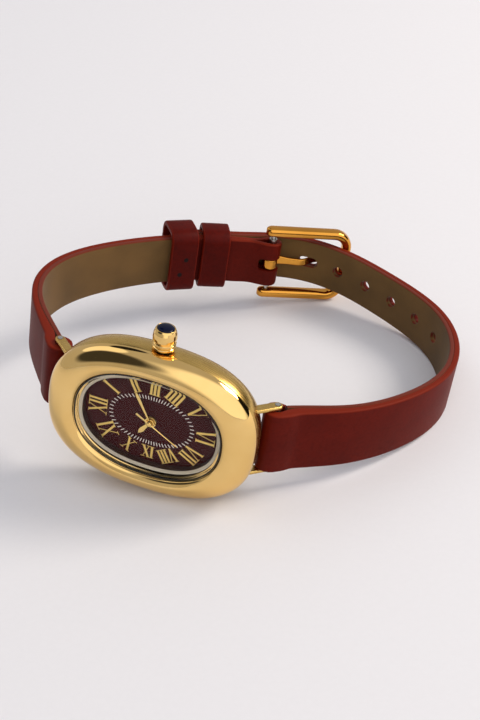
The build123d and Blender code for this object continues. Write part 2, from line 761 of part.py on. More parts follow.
def train_wheel(place, pivots, wheel, pinion):
    """Wheel and pinion on one arbor; wheel and pinion are (layer, teeth, module, phase)."""
    wheel_layer, wheel_teeth, wheel_module, wheel_phase = wheel
    pinion_layer, pinion_teeth, pinion_module, pinion_phase = pinion
    with BuildPart() as built:
        extrude(disc(face_plane(pivots[1]), pivot_radius, place), amount=pivots[1] - pivots[0])
        extrude(gear(wheel_layer, wheel_teeth, wheel_module, wheel_tooth_shares, place, wheel_phase),
                amount=wheel_thickness)
        extrude(gear(pinion_layer + pinion_margin, pinion_teeth, pinion_module, pinion_tooth_shares, place,
                     pinion_phase), amount=wheel_thickness + 2 * pinion_margin)
    return built


third_wheel = train_wheel(
    third_place, (stem_depth, bridge_back),
    (third_layer, third_wheel_teeth, third_module, third_bearing + 180),
    (centre_layer, third_pinion_teeth, centre_module, meshing_phase(third_bearing, third_pinion_teeth)),
)
finish(third_wheel, "third_wheel")

intermediate_wheel = train_wheel(
    intermediate_place, (stem_depth, bridge_back),
    (intermediate_layer, intermediate_wheel_teeth, intermediate_module, rotor_bearing),
    (fourth_layer, intermediate_pinion_teeth, fourth_module,
     meshing_phase(intermediate_bearing, intermediate_pinion_teeth)),
)
finish(intermediate_wheel, "intermediate_wheel")

second_hand_front = -second_hand_rise - hand_thickness
with BuildPart() as fourth_wheel:
    extrude(disc(face_plane(bridge_back), second_shaft_radius), amount=bridge_back - second_hand_front)
    extrude(gear(fourth_layer, fourth_wheel_teeth, fourth_module, wheel_tooth_shares, phase=intermediate_bearing),
            amount=wheel_thickness)
    extrude(gear(third_layer + pinion_margin, fourth_pinion_teeth, third_module, pinion_tooth_shares,
                 phase=meshing_phase(third_bearing + 180, fourth_pinion_teeth)),
            amount=wheel_thickness + 2 * pinion_margin)
finish(fourth_wheel, "fourth_wheel")

magnet_back = plate_back + magnet_height
with BuildPart() as rotor:
    extrude(disc(face_plane(bridge_back), pivot_radius, rotor_place), amount=bridge_back - stem_depth)
    extrude(gear(intermediate_layer + pinion_margin, rotor_pinion_teeth, intermediate_module, pinion_tooth_shares,
                 rotor_place, meshing_phase(rotor_bearing, rotor_pinion_teeth)),
            amount=wheel_thickness + 2 * pinion_margin)
finish(rotor, "rotor")

with BuildPart() as rotor_magnet:
    extrude(disc(face_plane(magnet_back), magnet_radius, rotor_place), amount=magnet_height)
    extrude(disc(face_plane(magnet_back), pivot_radius + fit_gap / 2, rotor_place), amount=magnet_height,
            mode=Mode.SUBTRACT)
finish(rotor_magnet, "rotor_magnet")

# Stepping motor: a stator round the rotor, closed by the coil's core
core_back = plate_back + stator_thickness + core_thickness


def bar_between(plane, low, high):
    """Rectangle between two opposite corners."""
    with BuildSketch(plane) as outline:
        with Locations(((low[0] + high[0]) / 2, (low[1] + high[1]) / 2)):
            Rectangle(high[0] - low[0], high[1] - low[1])
    return outline.sketch


with BuildPart() as stator:
    stator_plane = face_plane(plate_back)
    limb_inner = coil_half_length + 2 * battery_gap
    block_low = (rotor_place[0] - stator_block, rotor_place[1] - stator_block)
    block_high = (rotor_place[0] + stator_block, rotor_place[1] + stator_block)
    coil_side = coil_reach + core_width
    limb_low, limb_high = block_high[0] - stator_limb / 2, block_high[0] + stator_limb / 2
    for low, high in (
        (block_low, block_high),
        ((block_high[0] - stator_limb, block_high[1] - stator_limb / 2), (block_high[0], core_half_length)),
        ((block_high[0] - stator_limb, limb_inner), (coil_side, core_half_length)),
        ((limb_low, -core_half_length), (limb_high, block_low[1] + stator_limb / 2)),
        ((limb_low, -core_half_length), (coil_side, -limb_inner)),
    ):
        extrude(bar_between(stator_plane, low, high), amount=-stator_thickness)
    extrude(disc(stator_plane, stator_hole_radius, rotor_place), amount=-stator_thickness, mode=Mode.SUBTRACT)
finish(stator, "stator")

with BuildPart() as coil_core:
    extrude(bar_between(face_plane(core_back), (coil_reach - core_width / 2, -core_half_length),
                        (coil_reach + core_width / 2, core_half_length)), amount=core_thickness)
finish(coil_core, "coil_core")

coil_axis_depth = core_back - core_thickness / 2
with BuildPart() as coil_winding:
    with BuildSketch(Plane(origin=(coil_reach, coil_axis_depth - back_face_depth, 0))):
        Circle(coil_radius)
        Rectangle(core_width + 2 * fit_gap, core_thickness + 2 * fit_gap, mode=Mode.SUBTRACT)
    extrude(amount=coil_half_length, both=True)
finish(coil_winding, "coil_winding")

with BuildPart() as battery:
    extrude(disc(face_plane(battery_floor + battery_thickness), battery_radius, battery_centre),
            amount=battery_thickness)
    fillet(battery.faces().sort_by(Axis.Y)[0].edges(), battery_gap)
finish(battery, "battery")

with BuildPart() as battery_clamp:
    clamp_face = battery_floor + battery_thickness
    clamp_foot = battery_centre[1] - battery_radius - clamp_width / 2
    extrude(bar_between(face_plane(clamp_face + clamp_thickness),
                        (battery_centre[0] - clamp_width / 2, clamp_foot),
                        (battery_centre[0] + clamp_width / 2, battery_centre[1] + battery_radius / 2)),
            amount=clamp_thickness)
    extrude(bar_between(face_plane(clamp_face), (battery_centre[0] - clamp_width / 2, clamp_foot),
                        (battery_centre[0] + clamp_width / 2, clamp_foot + clamp_width / 4)),
            amount=clamp_face - plate_back)
finish(battery_clamp, "battery_clamp")

board_face = plate_back + resonator_radius
with BuildPart() as quartz_resonator:
    with BuildSketch(Plane(origin=(resonator_centre[0] - resonator_length / 2, plate_back - back_face_depth,
                                   resonator_centre[1]), x_dir=(0, 1, 0), z_dir=(1, 0, 0))):
        Circle(resonator_radius - fit_gap)
    extrude(amount=resonator_length)
finish(quartz_resonator, "quartz_resonator")

with BuildPart() as circuit_board:
    board_low = (resonator_centre[0] - resonator_length / 2, battery_centre[1] + battery_radius + battery_gap)
    board_high = (resonator_centre[0] + resonator_length / 2, plate_half_width - plate_corner / 4)
    extrude(bar_between(face_plane(board_face + board_thickness), board_low, board_high),
            amount=board_thickness)
    for low_x in (board_low[0], board_high[0] - clamp_thickness * 2):
        extrude(bar_between(face_plane(board_face), (low_x, board_high[1] - clamp_width / 2),
                            (low_x + clamp_thickness * 2, board_high[1])), amount=board_face - plate_back)
finish(circuit_board, "circuit_board")

with BuildPart() as setting_lever:
    pin_place = (lever_pivot[0] - lever_arm, groove_height)
    lever_plane = face_plane(lever_face + lever_thickness)
    with BuildSketch(lever_plane):
        with Locations(lever_pivot, pin_place):
            Circle(lever_width / 2)
        make_hull()
    extrude(amount=lever_thickness)
    extrude(disc(face_plane(lever_face), lever_pin_radius, pin_place), amount=lever_face - stem_depth)
    extrude(disc(face_plane(lever_face), pivot_radius, lever_pivot), amount=lever_face - plate_front)
finish(setting_lever, "setting_lever")


# Hands: flat blades on round hubs, pressed on the three pipes
def hand(rise, bore, hub_radius, angle, blade):
    """Flat hand; blade holds (distance, half width) pairs, and the angle is clockwise from 12 o'clock."""
    outline = [(half, out) for out, half in blade] + [(-half, out) for out, half in reversed(blade)]
    with BuildPart() as built:
        plane = radial_plane(180 - angle, 0)
        blade_plane = plane.offset(rise)
        with BuildSketch(blade_plane):
            with BuildLine():
                Polyline(*outline, close=True)
            make_face()
            Circle(hub_radius)
            Circle(bore, mode=Mode.SUBTRACT)
        extrude(amount=hand_thickness)
    return built


hour_hand = hand(
    hour_hand_rise, hour_pipe_radius + fit_gap / 2, hour_pipe_radius + hub_margin, hour_hand_angle,
    ((hour_pipe_radius, hour_hand_width * 0.3), (hour_hand_length * 0.72, hour_hand_width / 2),
     (hour_hand_length, hour_hand_width * 0.08)),
)
finish(hour_hand, "hour_hand")
minute_hand = hand(
    minute_hand_rise, cannon_sleeve_radius + fit_gap / 2, cannon_sleeve_radius + hub_margin, minute_hand_angle,
    ((cannon_sleeve_radius, minute_hand_width * 0.25), (minute_hand_length * 0.86, minute_hand_width / 2),
     (minute_hand_length, minute_hand_width * 0.1)),
)
finish(minute_hand, "minute_hand")
second_hand = hand(
    second_hand_rise, second_shaft_radius + fit_gap / 2, second_shaft_radius + hub_margin, second_hand_angle,
    ((-second_hand_tail, second_hand_width), (-second_shaft_radius, second_hand_width / 2),
     (second_shaft_radius, second_hand_width / 2), (second_hand_length, second_hand_width * 0.35)),
)
finish(second_hand, "second_hand")


# Spring bars: a tube, a spring and two tips that push in
def spring_bar(name, centre, half_gap, names):
    """Spring bar between two walls a gap apart; writes its tube, spring and two tips."""
    tube_end = half_gap - bar_flange_width / 2 - bar_tip_travel - bar_flange_width
    spring_end = tube_end - bar_tip_travel - bar_flange_width
    with BuildPart() as tube:
        extrude(disc(loop_plane(), bar_tube_radius, centre), amount=tube_end, both=True)
        extrude(disc(loop_plane(), bar_tube_bore, centre), amount=tube_end, both=True, mode=Mode.SUBTRACT)
    finish(tube, f"{name}_tube")
    with BuildPart() as spring:
        extrude(disc(loop_plane(), bar_spring_radius, centre), amount=spring_end, both=True)
    finish(spring, f"{name}_spring")
    for side, end_name in zip((-1, 1), names):
        flange_start = half_gap - bar_flange_width / 2 - bar_flange_width
        with BuildPart() as tip:
            extrude(disc(loop_plane(side * spring_end), bar_tip_radius, centre),
                    amount=side * (half_gap + bar_tip_engagement - spring_end))
            extrude(disc(loop_plane(side * flange_start), bar_flange_radius, centre),
                    amount=side * bar_flange_width)
        finish(tip, f"{name}_tip_{end_name}")


buckle_bar = (buckle_bar_reach, buckle_bar_depth)
slope_x, slope_y = math.cos(math.radians(buckle_slope)), math.sin(math.radians(buckle_slope))
buckle_side_plane = Plane(origin=(buckle_bar_reach, buckle_bar_depth - back_face_depth, 0),
                          x_dir=(slope_x, slope_y, 0), z_dir=(0, 0, 1))
spring_bar("lug_bar_12", (-bar_reach, bar_depth), lug_inner, ("nine", "three"))
spring_bar("lug_bar_6", (bar_reach, bar_depth), lug_inner, ("nine", "three"))
spring_bar("buckle_bar", buckle_bar, buckle_half_opening, ("nine", "three"))


# Strap paths in the loop's plane, along the middle of the leather's thickness
def along(path, distance, out=0, side=1):
    """Place at a distance along a path, and out from it on one side."""
    place = path.position_at(distance, position_mode=PositionMode.LENGTH)
    ahead = path.tangent_at(distance, position_mode=PositionMode.LENGTH)
    return Vector(place.X - ahead.Y * out * side, place.Y + ahead.X * out * side)


def layer(path, start, end, near, far, side=1, plane=loop_plane()):
    """Face of one layer between two distances along a path and two offsets from it."""
    count = max(4, round((end - start) / abs(far - near) / 3))
    stops = [start + (end - start) * step / count for step in range(count + 1)]
    with BuildSketch(plane) as outline:
        with BuildLine():
            inside = Spline(*[along(path, stop, near, side) for stop in stops])
            outside = Spline(*[along(path, stop, far, side) for stop in stops])
            Line(inside @ 0, outside @ 0)
            Line(inside @ 1, outside @ 1)
        make_face()
    return outline.sketch


def taper():
    """Side view of the strap: its half width falls evenly from the lugs to the buckle."""
    slope = (strap_buckle_half_width - strap_lug_half_width) / (buckle_bar_depth - bar_depth)
    ends = [(depth, strap_lug_half_width + slope * (depth - bar_depth))
            for depth in (bar_depth - 2 * lug_eye_radius, loop_depth + 2 * strap_thickness)]
    side_plane = Plane(origin=(0, -back_face_depth, 0), x_dir=(0, 1, 0), z_dir=(1, 0, 0))
    with BuildSketch(side_plane) as outline:
        with BuildLine():
            Polyline(ends[0], ends[1], (ends[1][0], -ends[1][1]), (ends[0][0], -ends[0][1]), close=True)
        make_face()
    return outline.sketch


with BuildLine() as twelve_line:
    Spline((-bar_reach, bar_depth),
           *[(-out * loop_reach_twelve, deep * loop_depth) for out, deep in strap_twelve_shares], buckle_bar)
twelve_path = twelve_line.edge()
twelve_length = twelve_path.length
stack_offset = half_strap + tail_gap + half_strap
ring_inner = bar_tube_radius + fit_gap
ring_outer = ring_inner + leather_thickness
ring_lift = ring_outer - half_strap
with BuildLine() as six_line:
    Spline((bar_reach, bar_depth),
           *[(out * loop_reach_six, deep * loop_depth) for out, deep in strap_six_shares],
           *[along(twelve_path, twelve_length - back * tail_past_bar, stack_offset + lift * ring_lift)
             for back, lift in tail_shares])
six_path = six_line.edge()
six_length = six_path.length
leather_near = half_strap - leather_thickness + glue_gap / 2
lining_far = half_strap - leather_thickness - glue_gap / 2
fold_start = twelve_length - fold_length
lining_start = ring_outer + glue_gap


def leather_ring(centre):
    """Leather wrapped round a spring bar."""
    return disc(loop_plane(), ring_outer, centre)


strap_reach = strap_lug_half_width + cut_overrun
taper_reach = loop_reach_six + loop_reach_twelve

with BuildPart() as strap_12_leather:
    extrude(layer(twelve_path, 0, twelve_length, leather_near, half_strap), amount=strap_reach, both=True)
    extrude(layer(twelve_path, fold_start, twelve_length, -half_strap, lining_far), amount=strap_reach, both=True)
    for centre in ((-bar_reach, bar_depth), buckle_bar):
        extrude(leather_ring(centre), amount=strap_reach, both=True)
    extrude(taper(), amount=taper_reach, both=True, mode=Mode.INTERSECT)
    for centre in ((-bar_reach, bar_depth), buckle_bar):
        extrude(disc(loop_plane(), ring_inner, centre), amount=strap_reach, both=True, mode=Mode.SUBTRACT)
    slot_length = 2 * ring_outer + tongue_slot_half_width
    with BuildSketch(buckle_side_plane):
        Rectangle(slot_length, 2 * slot_length)
    extrude(amount=tongue_slot_half_width, both=True, mode=Mode.SUBTRACT)
finish(strap_12_leather, "strap_12_leather")

with BuildPart() as strap_12_lining:
    extrude(layer(twelve_path, lining_start, fold_start - glue_gap, -half_strap, lining_far),
            amount=strap_reach, both=True)
    extrude(taper(), amount=taper_reach, both=True, mode=Mode.INTERSECT)
finish(strap_12_lining, "strap_12_lining")

tongue_hole_at = six_length - tail_past_bar - first_hole_past_bar


def hole_plane(distance):
    """Plane on the six o'clock strap, square to its thickness, with local x along it."""
    place = along(six_path, distance)
    ahead = six_path.tangent_at(distance, position_mode=PositionMode.LENGTH)
    return Plane(origin=(place.X, place.Y - back_face_depth, 0), x_dir=(ahead.X, ahead.Y, 0),
                 z_dir=(ahead.Y, -ahead.X, 0))


def punch_holes():
    """Faces of the round holes and of the one that the tongue stretches."""
    with BuildSketch(hole_plane(tongue_hole_at)) as stretched:
        SlotOverall(tongue_hole_length, 2 * hole_radius)
    places = [hole_plane(tongue_hole_at - step * hole_spacing) for step in range(1, hole_count)]
    rounds = [disc(place, hole_radius) for place in places]
    return [stretched.sketch, *rounds]


def tip_corners(strap, near, far):
    """Short edges at the two corners of a layer's tip, where the layer lies between two offsets."""
    tip = along(six_path, six_length, (near + far) / 2, -1)
    end_face = strap.faces().sort_by_distance(Vertex(tip.X, tip.Y - back_face_depth, 0))[0]
    heights = end_face.edges().group_by(Axis.Z)
    return heights[0] + heights[-1]


with BuildPart() as strap_6_leather:
    extrude(layer(six_path, 0, six_length, leather_near, half_strap, -1), amount=strap_reach, both=True)
    extrude(leather_ring((bar_reach, bar_depth)), amount=strap_reach, both=True)
    extrude(taper(), amount=taper_reach, both=True, mode=Mode.INTERSECT)
    extrude(disc(loop_plane(), ring_inner, (bar_reach, bar_depth)), amount=strap_reach, both=True,
            mode=Mode.SUBTRACT)
    for face in punch_holes():
        extrude(face, amount=strap_thickness, both=True, mode=Mode.SUBTRACT)
    fillet(tip_corners(strap_6_leather, leather_near, half_strap), tail_corner)
finish(strap_6_leather, "strap_6_leather")

with BuildPart() as strap_6_lining:
    extrude(layer(six_path, lining_start, six_length, -half_strap, lining_far, -1), amount=strap_reach, both=True)
    extrude(taper(), amount=taper_reach, both=True, mode=Mode.INTERSECT)
    for face in punch_holes():
        extrude(face, amount=strap_thickness, both=True, mode=Mode.SUBTRACT)
    fillet(tip_corners(strap_6_lining, -half_strap, lining_far), tail_corner)
finish(strap_6_lining, "strap_6_lining")

# Keepers: leather bands round both straps; the loose one slides, the fixed one is sewn on
stack_half_depth = (strap_thickness * 2 + tail_gap) / 2
stack_middle = stack_half_depth - half_strap
keeper_turn = (strap_lug_half_width - strap_buckle_half_width) * keeper_length / (buckle_bar_depth - bar_depth)


def keeper(from_bar, gap):
    """Leather band round the strap and its tail, centred at a distance back from the buckle bar."""
    stop = twelve_length - from_bar
    middle = along(twelve_path, stop, stack_middle)
    ahead = twelve_path.tangent_at(stop, position_mode=PositionMode.LENGTH)
    plane = Plane(origin=(middle.X, middle.Y - back_face_depth, 0), x_dir=(-ahead.Y, ahead.X, 0),
                  z_dir=(ahead.X, ahead.Y, 0))
    half_width = strap_buckle_half_width + keeper_turn * 2 + gap
    half_depth = stack_half_depth + gap
    with BuildPart() as built:
        with BuildSketch(plane):
            RectangleRounded(2 * (half_depth + keeper_wall), 2 * (half_width + keeper_wall), keeper_corner)
            RectangleRounded(2 * half_depth, 2 * half_width, keeper_corner - keeper_wall, mode=Mode.SUBTRACT)
        extrude(amount=keeper_length / 2, both=True)
    return built


fixed_keeper_at = fixed_keeper_from_bar + keeper_length / 2
loose_keeper_at = fixed_keeper_at + keeper_length + keeper_spacing
fixed_keeper = keeper(fixed_keeper_at, fixed_keeper_gap)
finish(fixed_keeper, "fixed_keeper")
loose_keeper = keeper(loose_keeper_at, loose_keeper_gap)
finish(loose_keeper, "loose_keeper")

# Buckle: a rounded frame on the spring bar, and a tongue curled round the bar
buckle_plane = Plane(origin=buckle_side_plane.origin, x_dir=(slope_x, slope_y, 0), z_dir=(-slope_y, slope_x, 0))
buckle_outer = buckle_half_opening + buckle_bar_width

frame_end = buckle_length + buckle_bar_width / 2
frame_span = frame_end + buckle_heel
open_span = frame_span + 2 * buckle_corner

with BuildPart() as buckle_frame:
    with BuildSketch(buckle_plane.offset(-buckle_thickness / 2)):
        with Locations((frame_end - open_span / 2, 0)):
            RectangleRounded(open_span, 2 * buckle_outer, buckle_corner)
        with Locations((frame_end - buckle_bar_width - open_span / 2, 0)):
            RectangleRounded(open_span, 2 * buckle_half_opening, buckle_corner - buckle_bar_width,
                             mode=Mode.SUBTRACT)
    extrude(amount=buckle_thickness)
    with BuildSketch(buckle_side_plane):
        with Locations(((frame_end - buckle_heel) / 2, 0)):
            SlotOverall(frame_span, buckle_thickness)
    extrude(amount=buckle_outer, both=True, mode=Mode.INTERSECT)
    extrude(disc(loop_plane(), bar_tip_radius + bar_hole_gap, buckle_bar),
            amount=buckle_half_opening + bar_tip_engagement + bar_hole_gap, both=True, mode=Mode.SUBTRACT)
finish(buckle_frame, "buckle_frame")

# Tongue: curled round the bar, under the lining, up through the hole and resting on the buckle's end
curl_inner = bar_tube_radius + tongue_curl_gap
curl_outer = curl_inner + tongue_thickness
tongue_rest = (buckle_thickness + tongue_thickness) / 2 + fit_gap
tongue_tip = frame_end + tongue_overhang
with BuildLine() as tongue_line:
    Spline((0, curl_outer - tongue_thickness / 2),
           *[(out * buckle_length, tongue_rest + lift * tongue_arch) for out, lift in tongue_arch_shares],
           (buckle_length, tongue_rest), (tongue_tip, tongue_rest - tongue_thickness / 2))
tongue_path = tongue_line.edge()

with BuildPart() as buckle_tongue:
    with BuildSketch(buckle_side_plane):
        Circle(curl_outer)
        Circle(curl_inner, mode=Mode.SUBTRACT)
    extrude(amount=tongue_half_width, both=True)
    extrude(layer(tongue_path, 0, tongue_path.length, -tongue_thickness / 2, tongue_thickness / 2,
                  plane=buckle_side_plane), amount=tongue_half_width, both=True)
    with BuildSketch(buckle_plane.offset(-2 * curl_outer)):
        Circle(curl_outer)
        with Locations((tongue_waist_at, 0)):
            Circle(tongue_waist_half_width)
        make_hull()
        with Locations(((tongue_tip + tongue_waist_at) / 2, 0)):
            SlotOverall(tongue_tip - tongue_waist_at, 2 * tongue_waist_half_width)
    extrude(amount=4 * curl_outer, mode=Mode.INTERSECT)
finish(buckle_tongue, "buckle_tongue")
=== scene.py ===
"""Oval gold watch on a red leather strap, buckled and standing on its edge on a pale floor.

Sizes are in millimetres. X runs from 12 o'clock to 6 o'clock, Y from the dial into the strap's loop and
Z towards 3 o'clock. Depths are measured from the dial's face towards the wrist.
"""

import logging
import math
from collections.abc import Sequence
from dataclasses import dataclass, field
from enum import Enum
from typing import Any

import bmesh
import bpy
import numpy as np
from mathutils import Matrix, Vector


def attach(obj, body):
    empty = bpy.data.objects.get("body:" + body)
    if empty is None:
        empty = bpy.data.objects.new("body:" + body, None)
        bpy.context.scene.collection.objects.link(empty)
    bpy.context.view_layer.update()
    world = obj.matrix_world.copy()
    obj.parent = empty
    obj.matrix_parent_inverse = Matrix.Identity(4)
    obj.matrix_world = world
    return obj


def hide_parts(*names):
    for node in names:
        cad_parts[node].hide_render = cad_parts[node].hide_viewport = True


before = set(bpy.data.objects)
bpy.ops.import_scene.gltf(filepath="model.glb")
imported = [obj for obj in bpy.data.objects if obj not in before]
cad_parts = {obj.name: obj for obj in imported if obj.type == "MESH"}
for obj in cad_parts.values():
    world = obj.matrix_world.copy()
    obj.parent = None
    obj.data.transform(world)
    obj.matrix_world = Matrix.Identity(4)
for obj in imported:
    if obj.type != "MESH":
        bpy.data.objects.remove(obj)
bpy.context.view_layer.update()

log = logging.getLogger("watch")

Pair = tuple[float, float]
Triple = tuple[float, float, float]
Pairs = tuple[Pair, ...]
Triples = tuple[Triple, ...]

MM = 0.001
BACK_FACE_DEPTH = 4.1
SMOOTH_ANGLE = 38
RIM_STEPS = 5
LONGEST_CUT = 0.48
MERGE_GAP = MM * 0.0005
NOISE_ENDS = (0.3, 0.7)
OVAL_SIZES = ("Length", "Width", "Power")
PRISM_FACES = ((0, 1, 2, 3), (7, 6, 5, 4), (0, 4, 5, 1), (1, 5, 6, 2), (2, 6, 7, 3), (3, 7, 4, 0))
UP = Vector((0, 0, 1))

# Spring bars as (distance from the middle, depth), and the bores for their tips
LUG_BAR = (16.5, 4.5)
BUCKLE_BAR = (1.6, 50.7)
BUCKLE_SLOPE = 26.0
TIP_BORE = 0.43


class Side(Enum):
    """Which side of its route a strap turns to the world."""

    LEFT = 1
    RIGHT = -1


# Outlines and routes


@dataclass(frozen=True)
class Oval:
    """Squared-off oval, long from 12 to 6 o'clock."""

    half_length: float
    half_width: float
    power: float

    def reach(self, bearing: float) -> float:
        """Distance from the middle along a bearing in degrees."""
        across = abs(math.cos(math.radians(bearing))) / self.half_length
        up = abs(math.sin(math.radians(bearing))) / self.half_width
        return (across**self.power + up**self.power) ** (-1 / self.power)

    def grown(self, margin: float) -> "Oval":
        """The oval with a margin added all round."""
        return Oval(self.half_length + margin, self.half_width + margin, self.power)


CASE = Oval(15.6, 11.55, 2.5)
CAVITY = Oval(11.6, 8.3, 2.5)
RIM = Oval(11.1, 8.25, 2.3)
CRYSTAL = RIM.grown(-0.27)
RING = Oval(10.5, 7.45, 2.3)
TRACK = Oval(6.1, 3.8, 2.2)
CENTRE = Oval(0.0, 0.0, 2.5)


class Route:
    """Smooth line in the strap's loop through a few places of (x, depth)."""

    def __init__(self, stops: Sequence[Sequence[float]], side: Side = Side.LEFT) -> None:
        """Fits a cubic through the stops.

        Args:
            stops: Places that the line passes, in order.
            side: The side that counts as outside.
        """
        knots = np.array(stops, float)
        times = np.concatenate(([0.0], np.cumsum(np.linalg.norm(np.diff(knots, axis=0), axis=1))))
        slopes = self._slopes(times, knots)
        places = []
        for index, span in enumerate(np.diff(times)):
            share = np.linspace(0, 1, 25)[:, None]
            start, end = knots[index], knots[index + 1]
            places.append(
                (1 + 2 * share) * (1 - share) ** 2 * start
                + share * (1 - share) ** 2 * span * slopes[index]
                + share**2 * (3 - 2 * share) * end
                + share**2 * (share - 1) * span * slopes[index + 1]
            )
        line = np.concatenate([places[0], *(part[1:] for part in places[1:])])
        self.line = line
        self.runs = np.concatenate(([0.0], np.cumsum(np.linalg.norm(np.diff(line, axis=0), axis=1))))
        self.length = float(self.runs[-1])
        ahead = np.gradient(line, self.runs, axis=0)
        self.ahead_line = ahead / np.linalg.norm(ahead, axis=1)[:, None]
        self.side = side.value

    @staticmethod
    def _slopes(times: np.ndarray, knots: np.ndarray) -> np.ndarray:
        """Slopes at the knots that make the line's bend continuous.

        Args:
            times: Length of the runs up to each knot.
            knots: Places of the knots.

        Returns:
            One slope for each knot.
        """
        count = len(times)
        system, wanted = np.zeros((count, count)), np.zeros_like(knots)
        for end, near in ((0, (0, 1, 2, 3)), (count - 1, (count - 1, count - 2, count - 3, count - 4))):
            system[end, end] = 1
            first, others = near[0], near[1:]
            wanted[end] = knots[first] * sum(1 / (times[first] - times[other]) for other in others)
            for other in others:
                rest = [item for item in others if item != other]
                weight = 1 / (times[other] - times[first])
                for item in rest:
                    weight *= (times[first] - times[item]) / (times[other] - times[item])
                wanted[end] += knots[other] * weight
        for index in range(1, count - 1):
            before, after = times[index] - times[index - 1], times[index + 1] - times[index]
            system[index, index - 1 : index + 2] = (1 / before, 2 / before + 2 / after, 1 / after)
            wanted[index] = 3 * (
                (knots[index] - knots[index - 1]) / before**2 + (knots[index + 1] - knots[index]) / after**2
            )
        return np.linalg.solve(system, wanted)

    def ahead(self, distance: float) -> np.ndarray:
        """Direction of the line at a distance along it."""
        found = np.array([np.interp(distance, self.runs, part) for part in self.ahead_line.T])
        return found / np.linalg.norm(found)

    def outward(self, distance: float) -> np.ndarray:
        """Direction square to the line, towards its outside."""
        ahead = self.ahead(distance)
        return np.array((-ahead[1], ahead[0])) * self.side

    def at(self, distance: float, out: float = 0.0) -> np.ndarray:
        """Place at a distance along the line and an offset to its outside."""
        place = np.array([np.interp(distance, self.runs, part) for part in self.line.T])
        return place + self.outward(distance) * out

    def spot(self, distance: float) -> tuple[np.ndarray, np.ndarray, np.ndarray]:
        """Place at a distance along the line, with the directions ahead and outwards."""
        return self.at(distance), self.ahead(distance), self.outward(distance)

    def sampled(self, parts: int) -> list[Pair]:
        """Places that cut the line into equal parts."""
        return [tuple(self.at(self.length * step / parts)) for step in range(parts + 1)]


def in_row(x: float, depth: float, z: float) -> Triple:
    """Place in metres from millimetres along the watch, into the loop and up."""
    return (x * MM, (depth - BACK_FACE_DEPTH) * MM, z * MM)


def on_buckle(along: float, up: float) -> Pair:
    """Place of (x, depth) from distances along the buckle and square to it."""
    slope = math.radians(BUCKLE_SLOPE)
    return (BUCKLE_BAR[0] + along * math.cos(slope) - up * math.sin(slope),
            BUCKLE_BAR[1] + along * math.sin(slope) + up * math.cos(slope))


def on_dial(bearing: float, across: float, out: float, front: float) -> Triple:
    """Place in metres from a dial's bearing, clockwise and outward offsets and height above its face."""
    turn = math.radians(bearing)
    x = out * math.cos(turn) + across * math.sin(turn)
    z = out * math.sin(turn) - across * math.cos(turn)
    return in_row(x, -front, z)


def dome(radius: float, foot: float, rise: float, step: int) -> list[Pair]:
    """Quarter of an ellipse as a profile of (radius, height), with a place each so many degrees."""
    turns = (math.radians(turn) for turn in range(0, 91, step))
    return [(radius * math.cos(turn), foot + rise * math.sin(turn)) for turn in turns]


def box(long: float, wide: float, corner: float, inner: float | None = None) -> list[Triple]:
    """Corners of an oblong from its half sizes; the lower two may have a corner radius of their own."""
    low = corner if inner is None else inner
    return [(long, wide, corner), (-long, wide, corner), (-long, -wide, low), (long, -wide, low)]


def rounded(corners: Sequence[Triple], steps: int = RIM_STEPS) -> list[Pair]:
    """Outline whose corners are turned into arcs.

    Args:
        corners: Points of (x, y, corner radius), as a closed outline.
        steps: Parts of each arc.

    Returns:
        Points of the outline.
    """
    outline = []
    for index, (x, y, radius) in enumerate(corners):
        here = Vector((x, y))
        back = Vector(corners[index - 1][:2]) - here
        on = Vector(corners[(index + 1) % len(corners)][:2]) - here
        if radius == 0 or back.length == 0 or on.length == 0:
            outline.append((x, y))
            continue
        half = back.angle(on) / 2
        cut = min(radius / math.tan(half), back.length * LONGEST_CUT, on.length * LONGEST_CUT)
        start, end = here + back.normalized() * cut, here + on.normalized() * cut
        for step in range(steps + 1):
            share = step / steps
            point = start * (1 - share) ** 2 + here * 2 * share * (1 - share) + end * share**2
            outline.append((point.x, point.y))
    return outline


# Mesh tools


